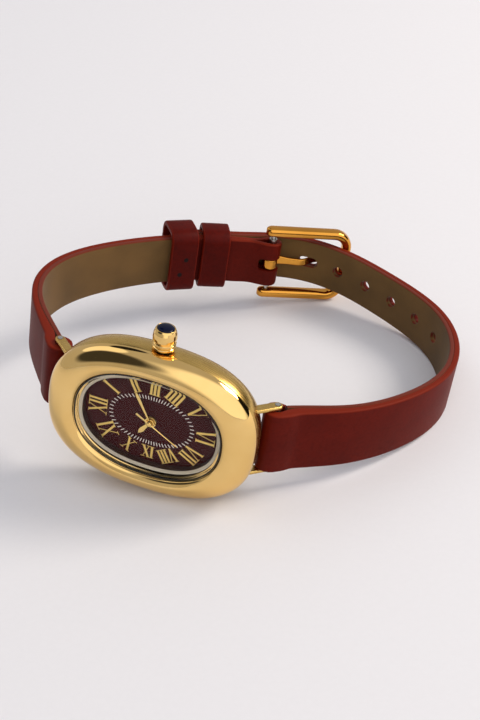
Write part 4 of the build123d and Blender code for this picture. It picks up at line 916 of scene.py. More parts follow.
@dataclass
class Case:
    """Middle case, bezel, case back and the rings between them; rises are heights above the dial's face.

    The shares give a curve as parts of its span and height. The tables of steps give places of
    (out or in from an edge, rise or depth), some with a corner radius after them.
    """

    crease_rise: float = 0.3
    crest_rise: float = 2.75
    rim_rise: float = 2.13
    glass_rise: float = 2.32
    ring_height: float = 1.35
    glass_seat: float = -1.37
    band_depth: float = 3.5
    band_inset: float = 0.12
    band_bulge: float = 0.6
    back_edge: float = 0.25
    back_thickness: float = 0.6
    back_flange: float = 0.9
    lip_reach: float = 11.58
    lip_wall: float = 0.33
    lip_height: float = 0.45
    notch: Pair = (2.4, 0.3)
    lug_radius: float = 0.75
    lug_thickness: float = 0.65
    lug_inner: float = 5.15
    lug_edge: float = 0.28
    lug_sink: float = 1.6
    lug_steps: int = 16
    bore_past: float = 0.75
    gasket_margins: Pair = (0.02, 0.19)
    ring_width: float = 0.46
    ring_slope: Pair = (0.12, 0.28)
    dome_shares: Pairs = (
        (0, 1), (0.2, 0.975), (0.45, 0.9), (0.69, 0.76), (0.878, 0.58), (0.971, 0.42), (1, 0.3),
    )
    funnel_shares: Pairs = ((0.94, 0.14), (0.85, 0.035))
    seat_steps: Pairs = (
        (-0.04, 2.1), (-0.06, 1.37), (-0.58, 1.35), (-0.58, 0.02), (0.48, 0.02), (0.48, 0.28),
    )
    bulge_shares: Pairs = ((0, 0.45), (0.4, 0), (0.75, 0.3), (1, 1))
    bevel_steps: Triples = (
        (0, 0.22, 0.1), (0.42, 0.02, 0.1), (0.62, 0.05, 0.05), (0.75, 0, 0.08),
    )
    glass_steps: Triples = ((1, 0.12, 0.2), (0.9, 0.035, 2.0), (0.5, 0.008, 3.0))

    def bezel(self, tree: Growth) -> None:
        """Fat domed ring with a funnel down to the crystal."""
        span, rise = CASE.half_length - RIM.half_length, self.crest_rise - self.crease_rise
        stops = [(share * span, -self.crease_rise - up * rise)
                 for up, share in (*self.dome_shares, *self.funnel_shares)]
        stops.append((0.0, -self.rim_rise))
        seat = [(out, -up) for out, up in self.seat_steps]
        shell = OvalShell(RIM, CASE, [*Route(stops).sampled(64), *seat], segments=240)
        shell.piece(tree, Tag("bezel_dome", "case", ("bezel",), "polished_gold"), POLISHED_GOLD)

    def lug(self, end: int, side: int) -> bpy.types.Mesh:
        """One lug: a rounded plate that runs out from under the case to the spring bar."""
        near = Vector((end * (CASE.half_length - 2 * self.lug_radius),
                       self.band_depth - self.lug_sink * self.lug_radius))
        far = Vector((end * LUG_BAR[0], LUG_BAR[1]))
        along = (far - near).normalized()
        rows = []
        levels = [(0.0, 0), *((0.0, step) for step in range(1, RIM_STEPS + 1)),
                  *((self.lug_thickness, step) for step in range(RIM_STEPS, -1, -1))]
        for height, step in levels:
            turn = math.pi / 2 * step / RIM_STEPS
            radius = self.lug_radius - self.lug_edge * (1 - math.sin(turn))
            lift = self.lug_edge * (1 - math.cos(turn))
            z = side * (self.lug_inner + (lift if height == 0 else height - lift))
            outline = []
            for middle, start in ((far, -math.pi / 2), (near, math.pi / 2)):
                for part in range(self.lug_steps + 1):
                    angle = start + math.pi * part / self.lug_steps
                    direction = along * math.cos(angle) + Vector((-along.y, along.x)) * math.sin(angle)
                    outline.append(in_row(*(middle + direction * radius), z))
            rows.append(outline)
        return skin(rows)

    def middle(self, tree: Growth) -> None:
        """Satin band with four lugs, bored for the spring bars' tips."""
        span = CASE.half_length - CAVITY.half_length
        tall = self.band_depth + self.crease_rise
        line = Route([(span - self.band_inset - self.band_bulge * inset, -self.crease_rise + share * tall)
                      for share, inset in self.bulge_shares]).sampled(24)
        end, turn = line[-1][0], line[-4]
        back = rounded([(*turn, 0), (end, self.band_depth, self.back_edge), (end - 1.0, self.band_depth, 0)])
        wall = [(0.0, self.band_depth), (0.0, -self.crease_rise)]
        shell = OvalShell(CAVITY, CASE, [*line[:-3], *back[1:], *wall], segments=200)
        mesh = shell.mesh(tree, SATIN_GOLD)
        for end in (-1, 1):
            for side in (-1, 1):
                mesh = cut(mesh, self.lug(end, side), "UNION")
            foot = Vector((end * LUG_BAR[0], LUG_BAR[1], -self.lug_inner - self.bore_past))
            mesh = cut(mesh, pin(foot, UP, TIP_BORE, 2 * (self.lug_inner + self.bore_past)))
        hand_over(mesh, Tag("case_middle", "case", ("case_band",), "satin_gold"), SATIN_GOLD)

    def back(self, tree: Growth) -> None:
        """Snap-on back: a steel plate with a bevelled edge, a lip inside and a notch to open it."""
        flange, lip, bore = CAVITY.grown(self.back_flange), self.lip_reach, self.lip_reach - self.lip_wall
        depth, face = self.band_depth, self.band_depth + self.back_thickness
        profile = rounded([
            (0, depth, 0), (bore, depth, 0), (bore, depth - self.lip_height, 0.05),
            (lip, depth - self.lip_height, 0.08), (lip, depth, 0), (flange.half_length, depth, 0.03),
            *((flange.half_length - out, face - under, corner) for out, under, corner in self.bevel_steps),
            (0, face, 0),
        ])
        mesh = OvalShell(CENTRE, flange, profile).mesh(tree, STEEL)
        long, radius = self.notch
        mesh = cut(mesh, pin(Vector((-long / 2, depth, -flange.half_width)), Vector((1, 0, 0)), radius, long))
        hand_over(mesh, Tag("case_back_plate", "case", ("case_back",), "steel"), STEEL)

    def rings(self, tree: Growth) -> None:
        """Crystal gasket and the grey ring round the dial."""
        near, far = self.gasket_margins
        top, wall, wide = -self.rim_rise + 0.05, far - near, self.ring_width
        flat, slope = self.ring_slope
        gasket = OvalShell(CRYSTAL.grown(near), CRYSTAL.grown(far), rounded([
            (0, self.glass_seat, 0), (0, top, 0.04), (wall, top, 0.04), (wall, self.glass_seat, 0)]))
        ring = OvalShell(RING.grown(-wide), RING, rounded([
            (0, 0, 0), (0, -self.ring_height + slope, 0.07), (wide - flat, -self.ring_height, 0.04),
            (wide, -self.ring_height, 0.03), (wide, 0, 0)]), segments=200)
        gasket.piece(tree, Tag("crystal_seal_ring", "case", ("crystal_gasket",), "dark_gasket"), DARK_GASKET)
        ring.piece(tree, Tag("grey_dial_ring", "case", ("dial_ring",), "ring_enamel"), RING_ENAMEL_AND_PAINTED_SHADE)

    def crystal(self, tree: Growth) -> None:
        """Slightly domed glass with a ground round edge."""
        reach, top = CRYSTAL.half_length, -self.glass_rise
        profile = rounded([
            (0, self.glass_seat, 0), (reach, self.glass_seat, 0.06),
            *((reach * share, top + under, corner) for share, under, corner in self.glass_steps), (0, top, 0),
        ], steps=6)
        tag = Tag("crystal_dome", "case", ("crystal",), "crystal_glass")
        OvalShell(CENTRE, CRYSTAL, profile).piece(tree, tag, CRYSTAL_GLASS)

    def build(self) -> None:
        """Makes all pieces of the case."""
        tree = oval_shell_tree()
        for part in (self.middle, self.bezel, self.back, self.crystal, self.rings):
            part(tree)


@dataclass
class DialPrint:
    """Numerals and minute track printed on the dial."""

    ring_face: float = 0.66
    gap: float = 0.34
    tick_length: float = 0.58
    tick_width: float = 0.1
    stroke: float = 0.34
    stroke_overlap: float = 0.03
    hairline: float = 0.11
    serif_rise: float = 0.75
    serif_reach: float = 1.3
    widest: float = 8.0
    raised: float = 0.05
    letters: tuple[str, ...] = ("XII", "I", "II", "III", "IIII", "V", "VI", "VII", "VIII", "IX", "X", "XI")
    letter_shares: dict[str, float] = field(default_factory=lambda: {"I": 0.26, "V": 0.62, "X": 0.62})

    def slant(self, foot: float, head: float, low: float, high: float, width: float) -> list[Pair]:
        """Stroke with level ends, as corners of (across, up)."""
        half = width / 2
        return [(foot - half, low), (foot + half, low), (head + half, high), (head - half, high)]

    def glyph(self, letter: str, middle: float, wide: float, tall: float, thick: float) -> list[Any]:
        """Strokes and serifs of one letter.

        Args:
            letter: I, V or X.
            middle: Place of its middle across.
            wide: Its width.
            tall: Its height.
            thick: Width of its main stroke.

        Returns:
            Pairs of corners and raised height.
        """
        lean = wide / 2 - thick / 2 - self.stroke_overlap
        left, right = middle - lean, middle + lean
        bar = self.hairline * self.serif_rise
        main, fine, flat = self.raised, self.raised * 0.9, self.raised * 0.8
        both, hair = [left, right], self.hairline
        strokes, feet, heads = {
            "I": ([(middle, middle, thick, main)], [middle], [middle]),
            "V": ([(middle, left, thick, main), (middle, right, hair, fine)], [], both),
            "X": ([(right, left, thick, main), (left, right, hair, fine)], both, both),
        }[letter]
        shapes = [(self.slant(foot, head, 0, tall, width), height) for foot, head, width, height in strokes]
        serif = 2 * (thick / 2 + self.hairline * self.serif_reach)
        shapes += [(self.slant(place, place, 0, bar, serif), flat) for place in feet]
        shapes += [(self.slant(place, place, tall - bar, tall, serif), flat) for place in heads]
        return shapes

    def numerals(self) -> None:
        """Roman hours, feet towards the middle."""
        points, faces = [], []
        for hour, letters in enumerate(self.letters):
            bearing = 180 - hour * 30
            foot = self.gap + self.tick_length / 2 + TRACK.reach(bearing)
            tall = RING.grown(-self.ring_face).reach(bearing) - self.gap - foot
            total = sum(self.letter_shares[letter] for letter in letters)
            squeeze = min(1.0, self.stroke * self.widest / (tall * total))
            place = -tall * squeeze * total / 2
            for letter in letters:
                wide = tall * squeeze * self.letter_shares[letter]
                strokes = self.glyph(letter, place + wide / 2, wide, tall, self.stroke * squeeze)
                for corners, height in strokes:
                    start = len(points)
                    for level in (0, height):
                        points += [on_dial(bearing, across, foot + up, level) for across, up in corners]
                    faces += [tuple(start + point for point in face) for face in PRISM_FACES]
                place += wide
        mesh = bpy.data.meshes.new("numerals")
        mesh.from_pydata(points, [], faces)
        work = bmesh.new()
        work.from_mesh(mesh)
        bmesh.ops.recalc_face_normals(work, faces=work.faces)
        work.to_mesh(mesh)
        work.free()
        hand_over(mesh, Tag("roman_numerals", "case", ("numerals",), "gilt_print"), GILT_PRINT)

    def track(self) -> None:
        """Sixty minute marks on an oval."""
        mesh = minute_marks_tree().grow(bpy.data.meshes.new("marks"), {
            "Count": 60, "Length": TRACK.half_length, "Width": TRACK.half_width, "Power": TRACK.power,
            "Front": -BACK_FACE_DEPTH - self.raised / 2,
            "Mark": (self.tick_width, self.raised, self.tick_length), "Material": WHITE_PRINT.material(),
        })
        hand_over(mesh, Tag("minute_marks", "case", ("minute_track",), "white_print"), WHITE_PRINT)

    def build(self) -> None:
        """Makes both prints."""
        self.numerals()
        self.track()


@dataclass
class Hand:
    """One hand: a ridged blade on a turned boss; blade gives (distance, half width)."""

    name: str
    body: str
    angle: float
    rise: float
    bore: float
    boss: float
    blade: Pairs
    cap: float = 0.0
    thickness: float = 0.1
    flank: float = 0.45
    boss_past: Pair = (0.02, 0.03)

    def build(self) -> None:
        """Makes the blade and its boss, as one piece."""
        low, ridge = self.rise, self.rise + self.thickness
        high = self.rise + self.thickness * self.flank
        rows = [
            [on_dial(180 - self.angle, across, out, front)
             for across, front in ((-half, low), (-half, high), (0, ridge), (half, high), (half, low))]
            for out, half in self.blade
        ]
        foot, top = self.rise - self.boss_past[0], self.rise + self.thickness + self.boss_past[1]
        if self.cap:
            profile = [(0.0, foot), (self.boss, foot), *dome(self.boss, top, self.cap, 10)]
        else:
            profile = rounded([(self.bore, foot, 0), (self.boss, foot, 0.03), (self.boss, top, 0.05),
                               (self.bore, top, 0.03)])
        boss = turned(profile, Vector((0, 0, 0)), Vector((0, -1, 0)), steps=48)
        tag = Tag(f"{self.name}_blade", self.body, (self.name,), "hand_gold")
        hand_over(joined([skin(rows), boss]), tag, HAND_GOLD)


@dataclass
class Hands:
    """The three hands, set at ten past ten."""

    hands: tuple[Hand, ...] = (
        Hand("hour_hand", "hour_pipe", 304, 0.3, 0.57, 0.84,
             ((0.56, 0.19), (1.4, 0.27), (2.1, 0.37), (2.55, 0.25), (2.9, 0.05))),
        Hand("minute_hand", "minute_arbor", 60, 0.58, 0.37, 0.64,
             ((0.36, 0.12), (2.4, 0.17), (4.45, 0.25), (4.9, 0.16), (5.2, 0.04))),
        Hand("second_hand", "second_arbor", 209, 0.86, 0.0, 0.39,
             ((-2.4, 0.19), (-0.5, 0.13), (-0.1, 0.1), (0.1, 0.1), (4.2, 0.07), (4.7, 0.11), (5.1, 0.04)),
             cap=0.16),
    )

    def build(self) -> None:
        """Makes the hour, minute and second hand."""
        for hand in self.hands:
            hand.build()


@dataclass
class Crown:
    """Crown with its stone, on the winding stem; shares give (out, up, corner radius) of the cup."""

    radius: float = 1.72
    height: float = 3.15
    base: float = 11.83
    stem_depth: float = 1.25
    bores: Pairs = ((0.42, 2.8), (0.42, 1.7), (1.1, 1.7), (1.1, 0))
    stone_radius: float = 1.22
    stone_seat: float = 2.8
    stone_foot: float = 3.09
    stone_rise: float = 0.36
    collar: Pair = (0.02, 3.14)
    shares: Triples = (
        (0.78, 0, 0.03), (0.97, 0.03, 0.05), (0.98, 0.13, 0.05), (0.84, 0.17, 0.04), (0.85, 0.22, 0.04),
        (0.99, 0.27, 0.05), (0.96, 0.33, 0.04), (0.84, 0.36, 0.05), (0.97, 0.44, 0.15), (1, 0.58, 0.4),
        (0.95, 0.78, 0.4), (0.86, 0.92, 0.2), (0.79, 0.995, 0.06),
    )

    def build(self) -> None:
        """Makes the cup and the stone."""
        foot = Vector((0, self.stem_depth, self.base))
        collar = self.stone_radius + self.collar[0]
        outline = [(self.radius * out, self.height * up, corner) for out, up, corner in self.shares]
        outline += [(collar, self.collar[1], 0.04), (collar, self.stone_seat, 0)]
        outline += [(reach, up, 0) for reach, up in self.bores]
        cup = turned(rounded(outline), foot, UP, steps=96)
        hand_over(cup, Tag("crown_cup", "crown", ("crown",), "polished_gold"), POLISHED_GOLD)
        stone = turned([(0.0, self.stone_seat), (self.stone_radius, self.stone_seat),
                        *dome(self.stone_radius, self.stone_foot, self.stone_rise, 9)], foot, UP)
        hand_over(stone, Tag("crown_stone", "crown", ("crown_cabochon",), "cabochon_blue"), CABOCHON_BLUE)


@dataclass
class Ribbon:
    """Band of leather or metal that follows a route in the loop."""

    route: Route
    half_width: Any
    half_thickness: Any
    corner_out: float = 0.3
    corner_in: float = 0.12
    tip_corner: float = 0.0
    step: float = 0.5
    corner_steps: int = 4
    tightest: float = 0.95
    paint_reach: float = 1.3
    end_run: float = 0.02

    def mesh(self) -> bpy.types.Mesh:
        """The band's mesh, with its edge marked for paint."""
        length, tip = self.route.length, self.tip_corner
        stops = list(np.linspace(0, length, max(6, round(length / self.step))))
        if tip:
            stops = [stop for stop in stops if stop < length - tip]
            stops += [length - tip * (1 - math.sin(turn)) for turn in np.linspace(0, math.pi / 2, 10)[1:]]
        rows, edge = [], []
        for stop in stops:
            place, _, out = self.route.spot(stop)
            wide, thick = self.half_width(stop, place), self.half_thickness(stop)
            over = max(0.0, tip - (length - stop))
            wide -= tip - math.sqrt(max(tip**2 - over**2, 0.0))
            row, marks = [], []
            for start, side, face, radius in ((0, 1, 1, self.corner_out), (90, -1, 1, self.corner_out),
                                              (180, -1, -1, self.corner_in), (270, 1, -1, self.corner_in)):
                radius = min(radius, thick * self.tightest, wide * self.tightest)
                for part in range(self.corner_steps + 1):
                    turn = math.radians(start + 90 * part / self.corner_steps)
                    z = side * (wide - radius) + radius * math.cos(turn)
                    lift = face * (thick - radius) + radius * math.sin(turn)
                    row.append(in_row(*(place + out * lift), z))
                    marks.append(min(1.0, max(0.0, (abs(z) - wide + radius) / radius * self.paint_reach)))
            rows.append(row)
            edge.append(marks if stop < length - self.end_run or not tip else [1.0] * len(marks))
        return skin(rows, edge=edge, runs=[stop * MM for stop in stops])


@dataclass
class Strap:
    """Both halves of the strap, their linings, holes and keepers.

    The shares give each half's line as parts of the loop's reach and depth. Middle and half are the
    middle line's offset and the half thickness of a layer.
    """

    lug_half_width: float = 5.0
    buckle_half_width: float = 4.0
    reach_six: float = 36.5
    reach_twelve: float = 26.8
    loop_depth: float = 54.8
    half_stack: float = 0.8
    leather_middle: float = 0.355
    leather_half: float = 0.445
    lining_middle: float = -0.455
    lining_half: float = 0.345
    layer_gap: float = 0.02
    skin_gap: float = 0.005
    skived: Pair = (1.5, -0.72)
    skive_halves: tuple[float, ...] = (0.2, 0.56, 0.62, 0.8)
    skive_run: float = 1.2
    ring_middle: float = 1.12
    head_ring: float = 1.3
    head_start: float = 3.0
    head_run: float = 3.4
    head_pad: float = 0.36
    pad_run: float = 13.0
    pad_power: float = 1.6
    ring_outer: float = 1.57
    stop_gap: float = 1.6
    tail_past_bar: float = 17.3
    tail_gap: float = 0.1
    tail_corner: float = 2.4
    fold: float = 15.0
    fold_halves: Pair = (0.44, 0.36)
    hole_radius: float = 0.85
    hole_spacing: float = 5.8
    hole_count: int = 6
    hole_steps: int = 40
    hole_flares: Pairs = ((0.55, 0), (0.72, 0.04), (0.86, 0.13), (1.2, 0.3))
    hole_paint: float = 0.6
    first_hole: float = 7.5
    tongue_hole: float = 3.2
    slot: tuple[float, float, float, float] = (2.12, 1.1, 0.7, 4.4)
    keeper_length: float = 4.6
    keeper_wall: float = 0.75
    keeper_corner: float = 1.9
    keeper_inside: Pair = (1.65, 4.2)
    keeper_edges: Pair = (0.3, 0.12)
    keeper_crown: float = 0.06
    keeper_paint: Pair = (0.3, 0.2)
    keeper_lift: float = 0.05
    keeper_from_bar: Pair = (9.7, 15.4)
    keeper_gaps: Pair = (0.45, 0.8)
    thread_places: Pairs = ((0.35, 0.9), (-0.5, -1.9))
    thread_radius: float = 0.6
    thread_sink: float = 0.08
    twelve_shares: Pairs = (
        (0.81, 0.19), (0.937, 0.279), (1, 0.381), (0.978, 0.485), (0.869, 0.593),
        (0.702, 0.693), (0.552, 0.763), (0.388, 0.823), (0.2, 0.872),
    )
    six_shares: Pairs = (
        (0.547, 0.123), (0.696, 0.181), (0.808, 0.248), (0.893, 0.323), (0.959, 0.405), (1, 0.498),
        (1, 0.604), (0.953, 0.712), (0.863, 0.803), (0.73, 0.875), (0.571, 0.934), (0.393, 0.984), (0.186, 1),
    )
    tail_shares: Pairs = ((0, 1), (0.36, 0), (0.68, 0), (1, 0))

    def __post_init__(self) -> None:
        """Lays out the middle lines of both halves."""
        deep = self.loop_depth
        left = [(-out * self.reach_twelve, down * deep) for out, down in self.twelve_shares]
        self.twelve = Route([(-LUG_BAR[0], LUG_BAR[1]), *left, BUCKLE_BAR])
        stack, lift = 2 * self.half_stack + self.tail_gap, self.ring_outer - self.half_stack
        right = [(out * self.reach_six, down * deep) for out, down in self.six_shares]
        right += [tuple(self.twelve.at(self.twelve.length - back * self.tail_past_bar, stack + up * lift))
                  for back, up in self.tail_shares]
        self.six = Route([LUG_BAR, *right], Side.RIGHT)

    def half_width(self, _stop: float, place: np.ndarray) -> float:
        """Half width of the strap, which falls evenly from the lugs to the buckle."""
        share = (place[1] - LUG_BAR[1]) / (BUCKLE_BAR[1] - LUG_BAR[1])
        return self.lug_half_width + share * (self.buckle_half_width - self.lug_half_width)

    def wrap(self, route: Route, at_end: bool) -> list[Pair]:
        """Places round a spring bar, from one side of the route to the other.

        Args:
            route: The strap's middle line.
            at_end: Whether the bar is at the line's end; then the places run from the outside inwards.

        Returns:
            The places.
        """
        centre, ahead, out = route.spot(route.length if at_end else 0.0)
        sign = self.ring_middle if at_end else -self.head_ring
        return [
            tuple(centre + sign * (out * math.cos(turn) + ahead * math.sin(turn)))
            for turn in np.linspace(0, math.pi, 9)
        ]

    def outer_places(self, route: Route, end: float) -> list[Pair]:
        """Places of the outer leather along a route, from just past the first bar to an end."""
        stops = np.linspace(self.head_start, end, max(4, round(end / self.stop_gap)))
        return [tuple(route.at(stop, self.leather_middle + self.pad(stop))) for stop in stops]

    def pad(self, stop: float) -> float:
        """Half of the filling's thickness, which thins away from the case."""
        return self.head_pad * max(0.0, 1 - (stop - self.head_start) / self.pad_run) ** self.pad_power

    def head_half(self, stop: float) -> float:
        """Half thickness of the outer leather at a distance from its skived start, round the bar and on."""
        turned_run = math.pi * self.head_ring + self.head_run
        if stop < turned_run:
            stops = (0, self.skive_run, turned_run - self.skive_run, turned_run)
            return float(np.interp(stop, stops, self.skive_halves))
        return self.leather_half - self.skin_gap + self.pad(stop - turned_run + self.head_start)

    def hole_places(self) -> list[Pair]:
        """For each hole its distance along the six o'clock half and its length."""
        first = self.six.length - self.tail_past_bar - self.first_hole
        return [(first, self.tongue_hole)] + [
            (first - step * self.hole_spacing, 2 * self.hole_radius) for step in range(1, self.hole_count)
        ]

    def punch(self) -> bpy.types.Mesh:
        """Tool that cuts all holes, with flared ends that leave rounded rims."""
        tools = []
        inner = [(-level, flare) for level, flare in reversed(self.hole_flares)]
        for stop, long in self.hole_places():
            place, ahead, out = self.six.spot(stop)
            rows = []
            for level, flare in (*inner, *self.hole_flares):
                radius, half = self.hole_radius + flare, long / 2 - self.hole_radius
                row = []
                for part in range(self.hole_steps):
                    turn = 2 * math.pi * (part + 0.5) / self.hole_steps
                    shift = math.copysign(half, math.cos(turn)) + radius * math.cos(turn)
                    row.append(in_row(*(place + ahead * shift + out * level), radius * math.sin(turn)))
                rows.append(row)
            tools.append(skin(rows, edge=np.ones((len(rows), self.hole_steps)) * self.hole_paint))
        return joined(tools)

    def tongue_slot(self) -> bpy.types.Mesh:
        """Tool for the slot that lets the tongue through the leather at the buckle's bar."""
        *half_sizes, reach = self.slot
        outline = rounded(box(*half_sizes))
        rows = [[in_row(*on_buckle(along, level), across) for along, across in outline]
                for level in (-reach, reach)]
        return skin(rows, edge=np.ones((2, len(outline))) * self.hole_paint)

    def leathers(self) -> None:
        """Outer leather of both halves, wrapped round its bars."""
        twelve, six, start = self.twelve, self.six, self.head_start
        places = [tuple(twelve.at(*self.skived)), *self.wrap(twelve, False),
                  *self.outer_places(twelve, twelve.length - start), *self.wrap(twelve, True)]
        places += [tuple(twelve.at(twelve.length - back, self.lining_middle))
                   for back in np.linspace(start, self.fold, 6)]
        line = Route(places)
        turn_back = line.length - self.fold

        def twelve_half(stop: float) -> float:
            """Half thickness: filled at the case, skived where it is folded back."""
            if stop < turn_back - start:
                return self.head_half(stop)
            stops = (turn_back - 2, turn_back, line.length)
            return float(np.interp(stop, stops, (*self.fold_halves, self.lining_half)))

        upper = Ribbon(line, self.half_width, twelve_half, corner_in=0.08)
        mesh = cut(upper.mesh(), self.tongue_slot())
        hand_over(mesh, Tag("strap_12_outer", "case", ("strap_12_leather",), "leather_red"), LEATHER_RED)
        places = [tuple(six.at(*self.skived)), *self.wrap(six, False), *self.outer_places(six, six.length)]
        lower = Ribbon(Route(places, Side.RIGHT), self.half_width, self.head_half, corner_in=0.08,
                       tip_corner=self.tail_corner)
        mesh = cut(lower.mesh(), self.punch())
        hand_over(mesh, Tag("strap_6_outer", "case", ("strap_6_leather",), "leather_red"), LEATHER_RED)

    def linings(self) -> None:
        """Lining of both halves."""
        twelve, six, corner = self.twelve, self.six, self.tail_corner
        folded = twelve.length - self.fold - self.layer_gap
        for name, route, side, end, tip in (("strap_12", twelve, Side.LEFT, folded, 0.0),
                                            ("strap_6", six, Side.RIGHT, six.length, corner)):
            stops = np.linspace(self.ring_outer + self.layer_gap, end, max(4, round(end / self.stop_gap)))
            line = Route([tuple(route.at(stop, self.lining_middle)) for stop in stops], side)
            mesh = Ribbon(line, self.half_width, lambda _stop: self.lining_half, corner_out=0.06,
                          corner_in=0.22, tip_corner=tip).mesh()
            if tip:
                mesh = cut(mesh, self.punch())
            hand_over(mesh, Tag(f"{name}_inner", "case", (f"{name}_lining",), "leather_lining"), LINING)

    def keeper(self, which: int) -> bpy.types.Mesh:
        """Leather band round the strap and its tail: 0 is the sewn one, 1 the sliding one."""
        stop = self.twelve.length - self.keeper_from_bar[which]
        _, ahead, out = self.twelve.spot(stop)
        centre = self.twelve.at(stop, self.half_stack + self.keeper_lift)
        half_wall, half_long = self.keeper_wall / 2, self.keeper_length / 2
        halves = (inside + self.keeper_gaps[which] + half_wall for inside in self.keeper_inside)
        outline = [Vector(point) for point in rounded(box(*halves, self.keeper_corner), steps=8)]
        section = rounded(box(half_long, half_wall, *self.keeper_edges))
        reach, fade = self.keeper_paint
        rows, marks = [], []
        for index, point in enumerate(outline):
            on, back = outline[(index + 1) % len(outline)], outline[index - 1]
            run = (on - back).normalized()
            normal = Vector((run.y, -run.x))
            row, mark = [], []
            for along, lift in section:
                lift += self.keeper_crown * (1 - (2 * along / self.keeper_length) ** 2) if lift > 0 else 0.0
                place = point + normal * lift
                row.append(in_row(*(centre + out * place.x + ahead * along), place.y))
                mark.append(min(1.0, max(0.0, (abs(along) - half_long + reach) / fade)))
            rows.append(row)
            marks.append(mark)
        return skin(rows, loop=True, edge=marks)

    def thread_ends(self) -> None:
        """Two dark thread ends sunk into the sliding keeper's inner face."""
        stop = self.twelve.length - self.keeper_from_bar[1]
        _, ahead, out = self.twelve.spot(stop)
        inside = self.keeper_inside[0] + self.keeper_gaps[1] + self.keeper_wall
        face = self.half_stack + self.keeper_lift - inside
        axis, radius = Vector((-out[0], -out[1], 0)), self.thread_radius
        knot = [(0.0, 0.0), (radius, 0.0), *dome(radius, 0.02, 0.1, 15)]
        parts = []
        for along, z in self.thread_places:
            spot = self.twelve.at(stop, face) + ahead * along
            foot = Vector((*spot, z)) + Vector((*out, 0)) * self.thread_sink
            parts.append(turned(knot, foot, axis, steps=20))
        tag = Tag("loose_keeper_thread_ends", "loose_keeper", (), "leather_red")
        hand_over(joined(parts), tag, DARK_THREAD)

    def build(self) -> None:
        """Makes the leathers, linings and keepers."""
        self.leathers()
        self.linings()
        for which, (name, body) in enumerate((("fixed_keeper", "case"), ("loose_keeper", "loose_keeper"))):
            hand_over(self.keeper(which), Tag(f"{name}_band", body, (name,), "leather_red"), KEEPER_RED)
        self.thread_ends()


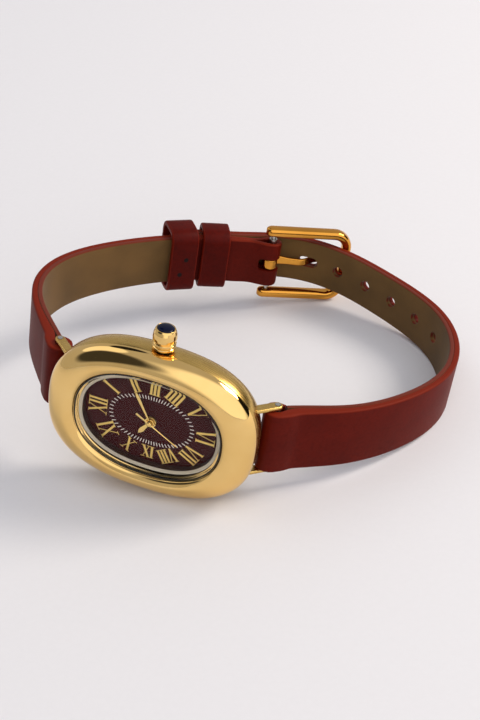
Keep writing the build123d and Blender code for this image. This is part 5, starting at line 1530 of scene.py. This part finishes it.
@dataclass
class Buckle:
    """Buckle frame and tongue, on the spring bar at the strap's end."""

    length: float = 12.7
    half_opening: float = 5.15
    bore_reach: float = 6.35
    bar_width: float = 1.6
    thickness: float = 2.1
    heel: float = 1.4
    heel_width: float = 0.55
    heel_end: float = 0.0006
    corner: float = 3.2
    corner_gap: float = 0.3
    side_start: float = 0.2
    squareness: float = 2.7
    around: int = 28
    tongue_thickness: float = 0.6
    tongue_halves: tuple[float, ...] = (0.92, 0.6, 0.6, 0.52)
    tongue_runs: Pair = (3.4, 1.5)
    tip_half: Pair = (1.6, 0.2)
    curl: float = 0.99
    curl_turns: Pair = (405, 90)
    rest: float = 1.07
    arch: float = 0.75
    overhang: float = 1.0
    arch_shares: Pairs = (
        (0.19, -0.35), (0.36, -0.85), (0.45, -0.85), (0.56, 0.15), (0.67, 0.95), (0.8, 0.75),
    )

    def middle_line(self) -> list[Pair]:
        """Places of (along, across) round the frame, from one heel to the other."""
        half, half_thick = self.bar_width / 2, self.thickness / 2
        side, radius = self.half_opening + half, self.corner - half
        line = [(-self.heel + half_thick * (1 - math.cos(turn)), side)
                for turn in np.linspace(0, math.pi / 2, 7)]
        turn_run = radius + self.corner_gap
        line += [(along, side) for along in np.linspace(self.side_start, self.length - turn_run, 14)]
        line += [(self.length - radius + radius * math.sin(turn), side - radius * (1 - math.cos(turn)))
                 for turn in np.linspace(0, math.pi / 2, 13)]
        line += [(self.length, across) for across in np.linspace(side - turn_run, 0, 6)]
        return line + [(along, -across) for along, across in reversed(line[:-1])]

    def frame(self) -> None:
        """Rounded frame, open at the strap's end, bored for the spring bar's tips."""
        line, half, half_thick = self.middle_line(), self.bar_width / 2, self.thickness / 2
        heel_middle = -self.heel + half_thick
        rows = []
        for index, (along, across) in enumerate(line):
            on, back = line[min(index + 1, len(line) - 1)], line[max(index - 1, 0)]
            run = Vector((on[0] - back[0], on[1] - back[1])).normalized()
            end = heel_middle - min(along, heel_middle)
            shrink = math.sqrt(max(1 - (end / half_thick) ** 2, self.heel_end))
            slim = self.heel_width + (1 - self.heel_width) * shrink if shrink < 1 else 1
            row = []
            for part in range(self.around):
                turn = 2 * math.pi * part / self.around
                flat, tall = (math.copysign(abs(value) ** (2 / self.squareness), value)
                              for value in (math.cos(turn), math.sin(turn)))
                wide = half * slim * flat
                row.append(in_row(*on_buckle(along + run.y * wide, half_thick * shrink * tall),
                                  across - run.x * wide))
            rows.append(row)
        bore = pin(Vector((*BUCKLE_BAR, -self.bore_reach)), UP, TIP_BORE, 2 * self.bore_reach)
        tag = Tag("buckle_frame_ring", "buckle", ("buckle_frame",), "buckle_gold")
        hand_over(cut(skin(rows), bore), tag, BUCKLE_GOLD)

    def tongue(self) -> None:
        """Tongue curled round the bar, through the hole and over the buckle's end."""
        first, last = (math.radians(turn) for turn in self.curl_turns)
        half = self.tongue_thickness / 2
        curl = self.curl
        stops = [(curl * math.cos(turn), curl * math.sin(turn)) for turn in np.linspace(first, last, 16)]
        stops += [(share * self.length, self.rest + lift * self.arch) for share, lift in self.arch_shares]
        stops += [(self.length, self.rest),
                  (self.length + self.bar_width / 2 + self.overhang, self.rest - half)]
        line = Route([on_buckle(*stop) for stop in stops])
        curl_run = curl * (first - last)
        slim, tip = self.tongue_runs

        def half_width(stop: float, _place: np.ndarray) -> float:
            """Half width: broad at the curl, slim through the hole."""
            stops = (curl_run, curl_run + slim, line.length - tip, line.length)
            return float(np.interp(stop, stops, self.tongue_halves))

        def half_thickness(stop: float) -> float:
            """Half thickness, thinner at the tip."""
            run, thin = self.tip_half
            return float(np.interp(stop, (line.length - run, line.length), (half, thin)))

        band = Ribbon(line, half_width, half_thickness, corner_out=0.26, corner_in=0.2, tip_corner=0.45,
                      step=0.25)
        tag = Tag("buckle_tongue_blade", "buckle_tongue", ("buckle_tongue",), "buckle_gold")
        hand_over(band.mesh(), tag, BUCKLE_GOLD)

    def build(self) -> None:
        """Makes the frame and the tongue."""
        self.frame()
        self.tongue()


@dataclass
class Works:
    """Solids kept as they are: the dial plate, the movement, the spring bars and the seals."""

    finishes: dict[str, Finish] = field(default_factory=lambda: {
        "dial": DIAL_LACQUER, "movement_holder": HOLDER, "rotor_magnet": MAGNET, "coil_winding": WIRE,
        "circuit_board": BOARD,
        **dict.fromkeys(("back_gasket", "crown_seal"), DARK_GASKET),
        **dict.fromkeys(("battery", "quartz_resonator"), BATTERY_STEEL),
        **dict.fromkeys(("train_bridge", "battery_clamp"), NICKEL),
        **dict.fromkeys(("stator", "coil_core"), IRON),
        **dict.fromkeys(("main_plate", "centre_wheel", "minute_wheel", "hour_wheel", "third_wheel",
                         "intermediate_wheel", "fourth_wheel"), BRASS),
    })

    def build(self) -> int:
        """Dresses every solid that has no finer piece, in steel unless named otherwise.

        Returns:
            How many solids were dressed.
        """
        for name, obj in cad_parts.items():
            material = self.finishes.get(name, STEEL).material()
            if obj.material_slots:
                for place in obj.material_slots:
                    place.material = material
            else:
                obj.data.materials.append(material)
        return len(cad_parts)


# Studio


@dataclass(frozen=True)
class Lamp:
    """Soft box seen from the watch in a direction, with the brightness of its face."""

    name: str
    direction: Triple
    distance: float
    size: Pair
    brightness: float
    colour: str = "#ffffff"
    aim: Triple = (0.003, 0.02, 0.0)

    def build(self) -> None:
        """Hangs the lamp and turns it to the watch."""
        light = bpy.data.lights.new(self.name, "AREA")
        light.shape = "RECTANGLE"
        light.size, light.size_y = self.size
        light.energy = self.brightness * math.pi * self.size[0] * self.size[1]
        light.color = linear(self.colour)[:3]
        lamp = bpy.data.objects.new(self.name, light)
        direction = Vector(self.direction).normalized()
        lamp.location = Vector(self.aim) + direction * self.distance
        lamp.rotation_euler = direction.to_track_quat("Z", "Y").to_euler()
        bpy.context.scene.collection.objects.link(lamp)


@dataclass(frozen=True)
class Patch:
    """Soft-edged part of the room, at degrees to the right of the front and above the horizon."""

    azimuth: float
    height: float
    core: float
    reach: float
    strength: float

    def direction(self) -> Triple:
        """Way from the watch to the patch."""
        turn, lift = math.radians(self.azimuth), math.radians(self.height)
        return (math.sin(turn) * math.cos(lift), -math.cos(turn) * math.cos(lift), math.sin(lift))


@dataclass
class Studio:
    """Camera, floor and soft light."""

    eye: Triple = (47.04, -157.02, 121.45)
    yaw: float = 13.2
    elevation: float = 34.3
    roll: float = 9.3
    lens: float = 71.11
    sensor: float = 36.0
    clip: Pair = (0.01, 20.0)
    floor_height: float = -11.3
    floor_slope: Pair = (0.164, 0.064)
    floor_anchor: Pair = (5.7, -3.1)
    floor_reach: float = 1500.0
    lamps: tuple[Lamp, ...] = (
        Lamp("window_behind_right", (0.58, 0.33, 0.74), 0.8, (0.28, 0.3), 16.0, "#fff4e6"),
    )
    white: str = "#f4f3f6"
    room_level: float = 0.56
    room: tuple[Patch, ...] = (
        Patch(42, 36, 36, 56, 1.45), Patch(-90, 45, 18, 21, 1.35), Patch(-46, 30, 21, 31, 0.06),
        Patch(-132, 53, 9, 11, 0.02), Patch(122, 18, 24, 26, 0.01),
    )

    def camera(self) -> None:
        """Stands the camera where the picture was taken."""
        yaw, lift, roll = (math.radians(angle) for angle in (self.yaw, self.elevation, self.roll))
        back = Vector((math.sin(yaw) * math.cos(lift), -math.cos(yaw) * math.cos(lift), math.sin(lift)))
        right = Vector((math.cos(yaw), math.sin(yaw), 0))
        up = back.cross(right)
        level = (right, up)
        right = level[0] * math.cos(roll) + level[1] * math.sin(roll)
        up = level[1] * math.cos(roll) - level[0] * math.sin(roll)
        data = bpy.data.cameras.new("camera")
        data.lens, data.sensor_fit = self.lens, "VERTICAL"
        data.sensor_width = data.sensor_height = self.sensor
        data.clip_start, data.clip_end = self.clip
        camera = bpy.data.objects.new("camera", data)
        turn = Matrix((right, up, back)).transposed().to_4x4()
        camera.matrix_world = Matrix.Translation(Vector(self.eye) * MM) @ turn
        bpy.context.scene.collection.objects.link(camera)
        bpy.context.scene.camera = camera

    def floor(self) -> None:
        """Pale sheet that the watch stands on."""
        corners = []
        for x, y in ((-1, -1), (1, -1), (1, 1), (-1, 1)):
            x, y = x * self.floor_reach, y * self.floor_reach
            z = self.floor_height + self.floor_slope[0] * (x - self.floor_anchor[0])
            z += self.floor_slope[1] * (y - self.floor_anchor[1])
            corners.append((x * MM, y * MM, z * MM))
        mesh = bpy.data.meshes.new("floor")
        mesh.from_pydata(corners, [], [(0, 1, 2, 3)])
        floor = bpy.data.objects.new("floor", mesh)
        mesh.materials.append(FLOOR_PAPER.material())
        bpy.context.scene.collection.objects.link(floor)

    def sky(self) -> None:
        """White behind everything, and for the light on the watch a soft room with bright and dark parts."""
        world = bpy.data.worlds.new("room")
        world.use_nodes = True
        nodes, shade = Nodes(world.node_tree), world.node_tree.nodes["Background"]
        look = nodes.add("ShaderNodeTexCoord").outputs["Generated"]
        level: Any = self.room_level
        for patch in self.room:
            near = nodes.add("ShaderNodeVectorMath", {0: look, 1: patch.direction()}, operation="DOT_PRODUCT")
            ends = (math.cos(math.radians(angle)) for angle in (patch.reach, patch.core))
            share = nodes.span(near.outputs["Value"], *ends, interpolation_type="SMOOTHSTEP")
            level = nodes.blend(share, level, patch.strength)
        nodes.feed(shade, {"Color": self.white, "Strength": level})
        plain = nodes.add("ShaderNodeBackground", {"Color": self.white, "Strength": 1.0})
        seen = nodes.add("ShaderNodeLightPath").outputs["Is Camera Ray"]
        mixed = nodes.add("ShaderNodeMixShader", {0: seen, 1: shade, 2: plain})
        nodes.feed(nodes.tree.nodes["World Output"], {"Surface": mixed})
        bpy.context.scene.world = world

    def build(self) -> None:
        """Sets the studio up."""
        bpy.context.scene.view_settings.view_transform = "Standard"
        self.camera()
        self.floor()
        self.sky()
        for lamp in self.lamps:
            lamp.build()


def main() -> None:
    """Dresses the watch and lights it."""
    logging.basicConfig(level=logging.INFO, format="%(message)s")
    log.info("%d solids dressed", Works().build())
    for part in (Case(), DialPrint(), Hands(), Crown(), Strap(), Buckle()):
        part.build()
    Studio().build()
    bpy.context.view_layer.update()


if __name__ == "__main__":
    main()
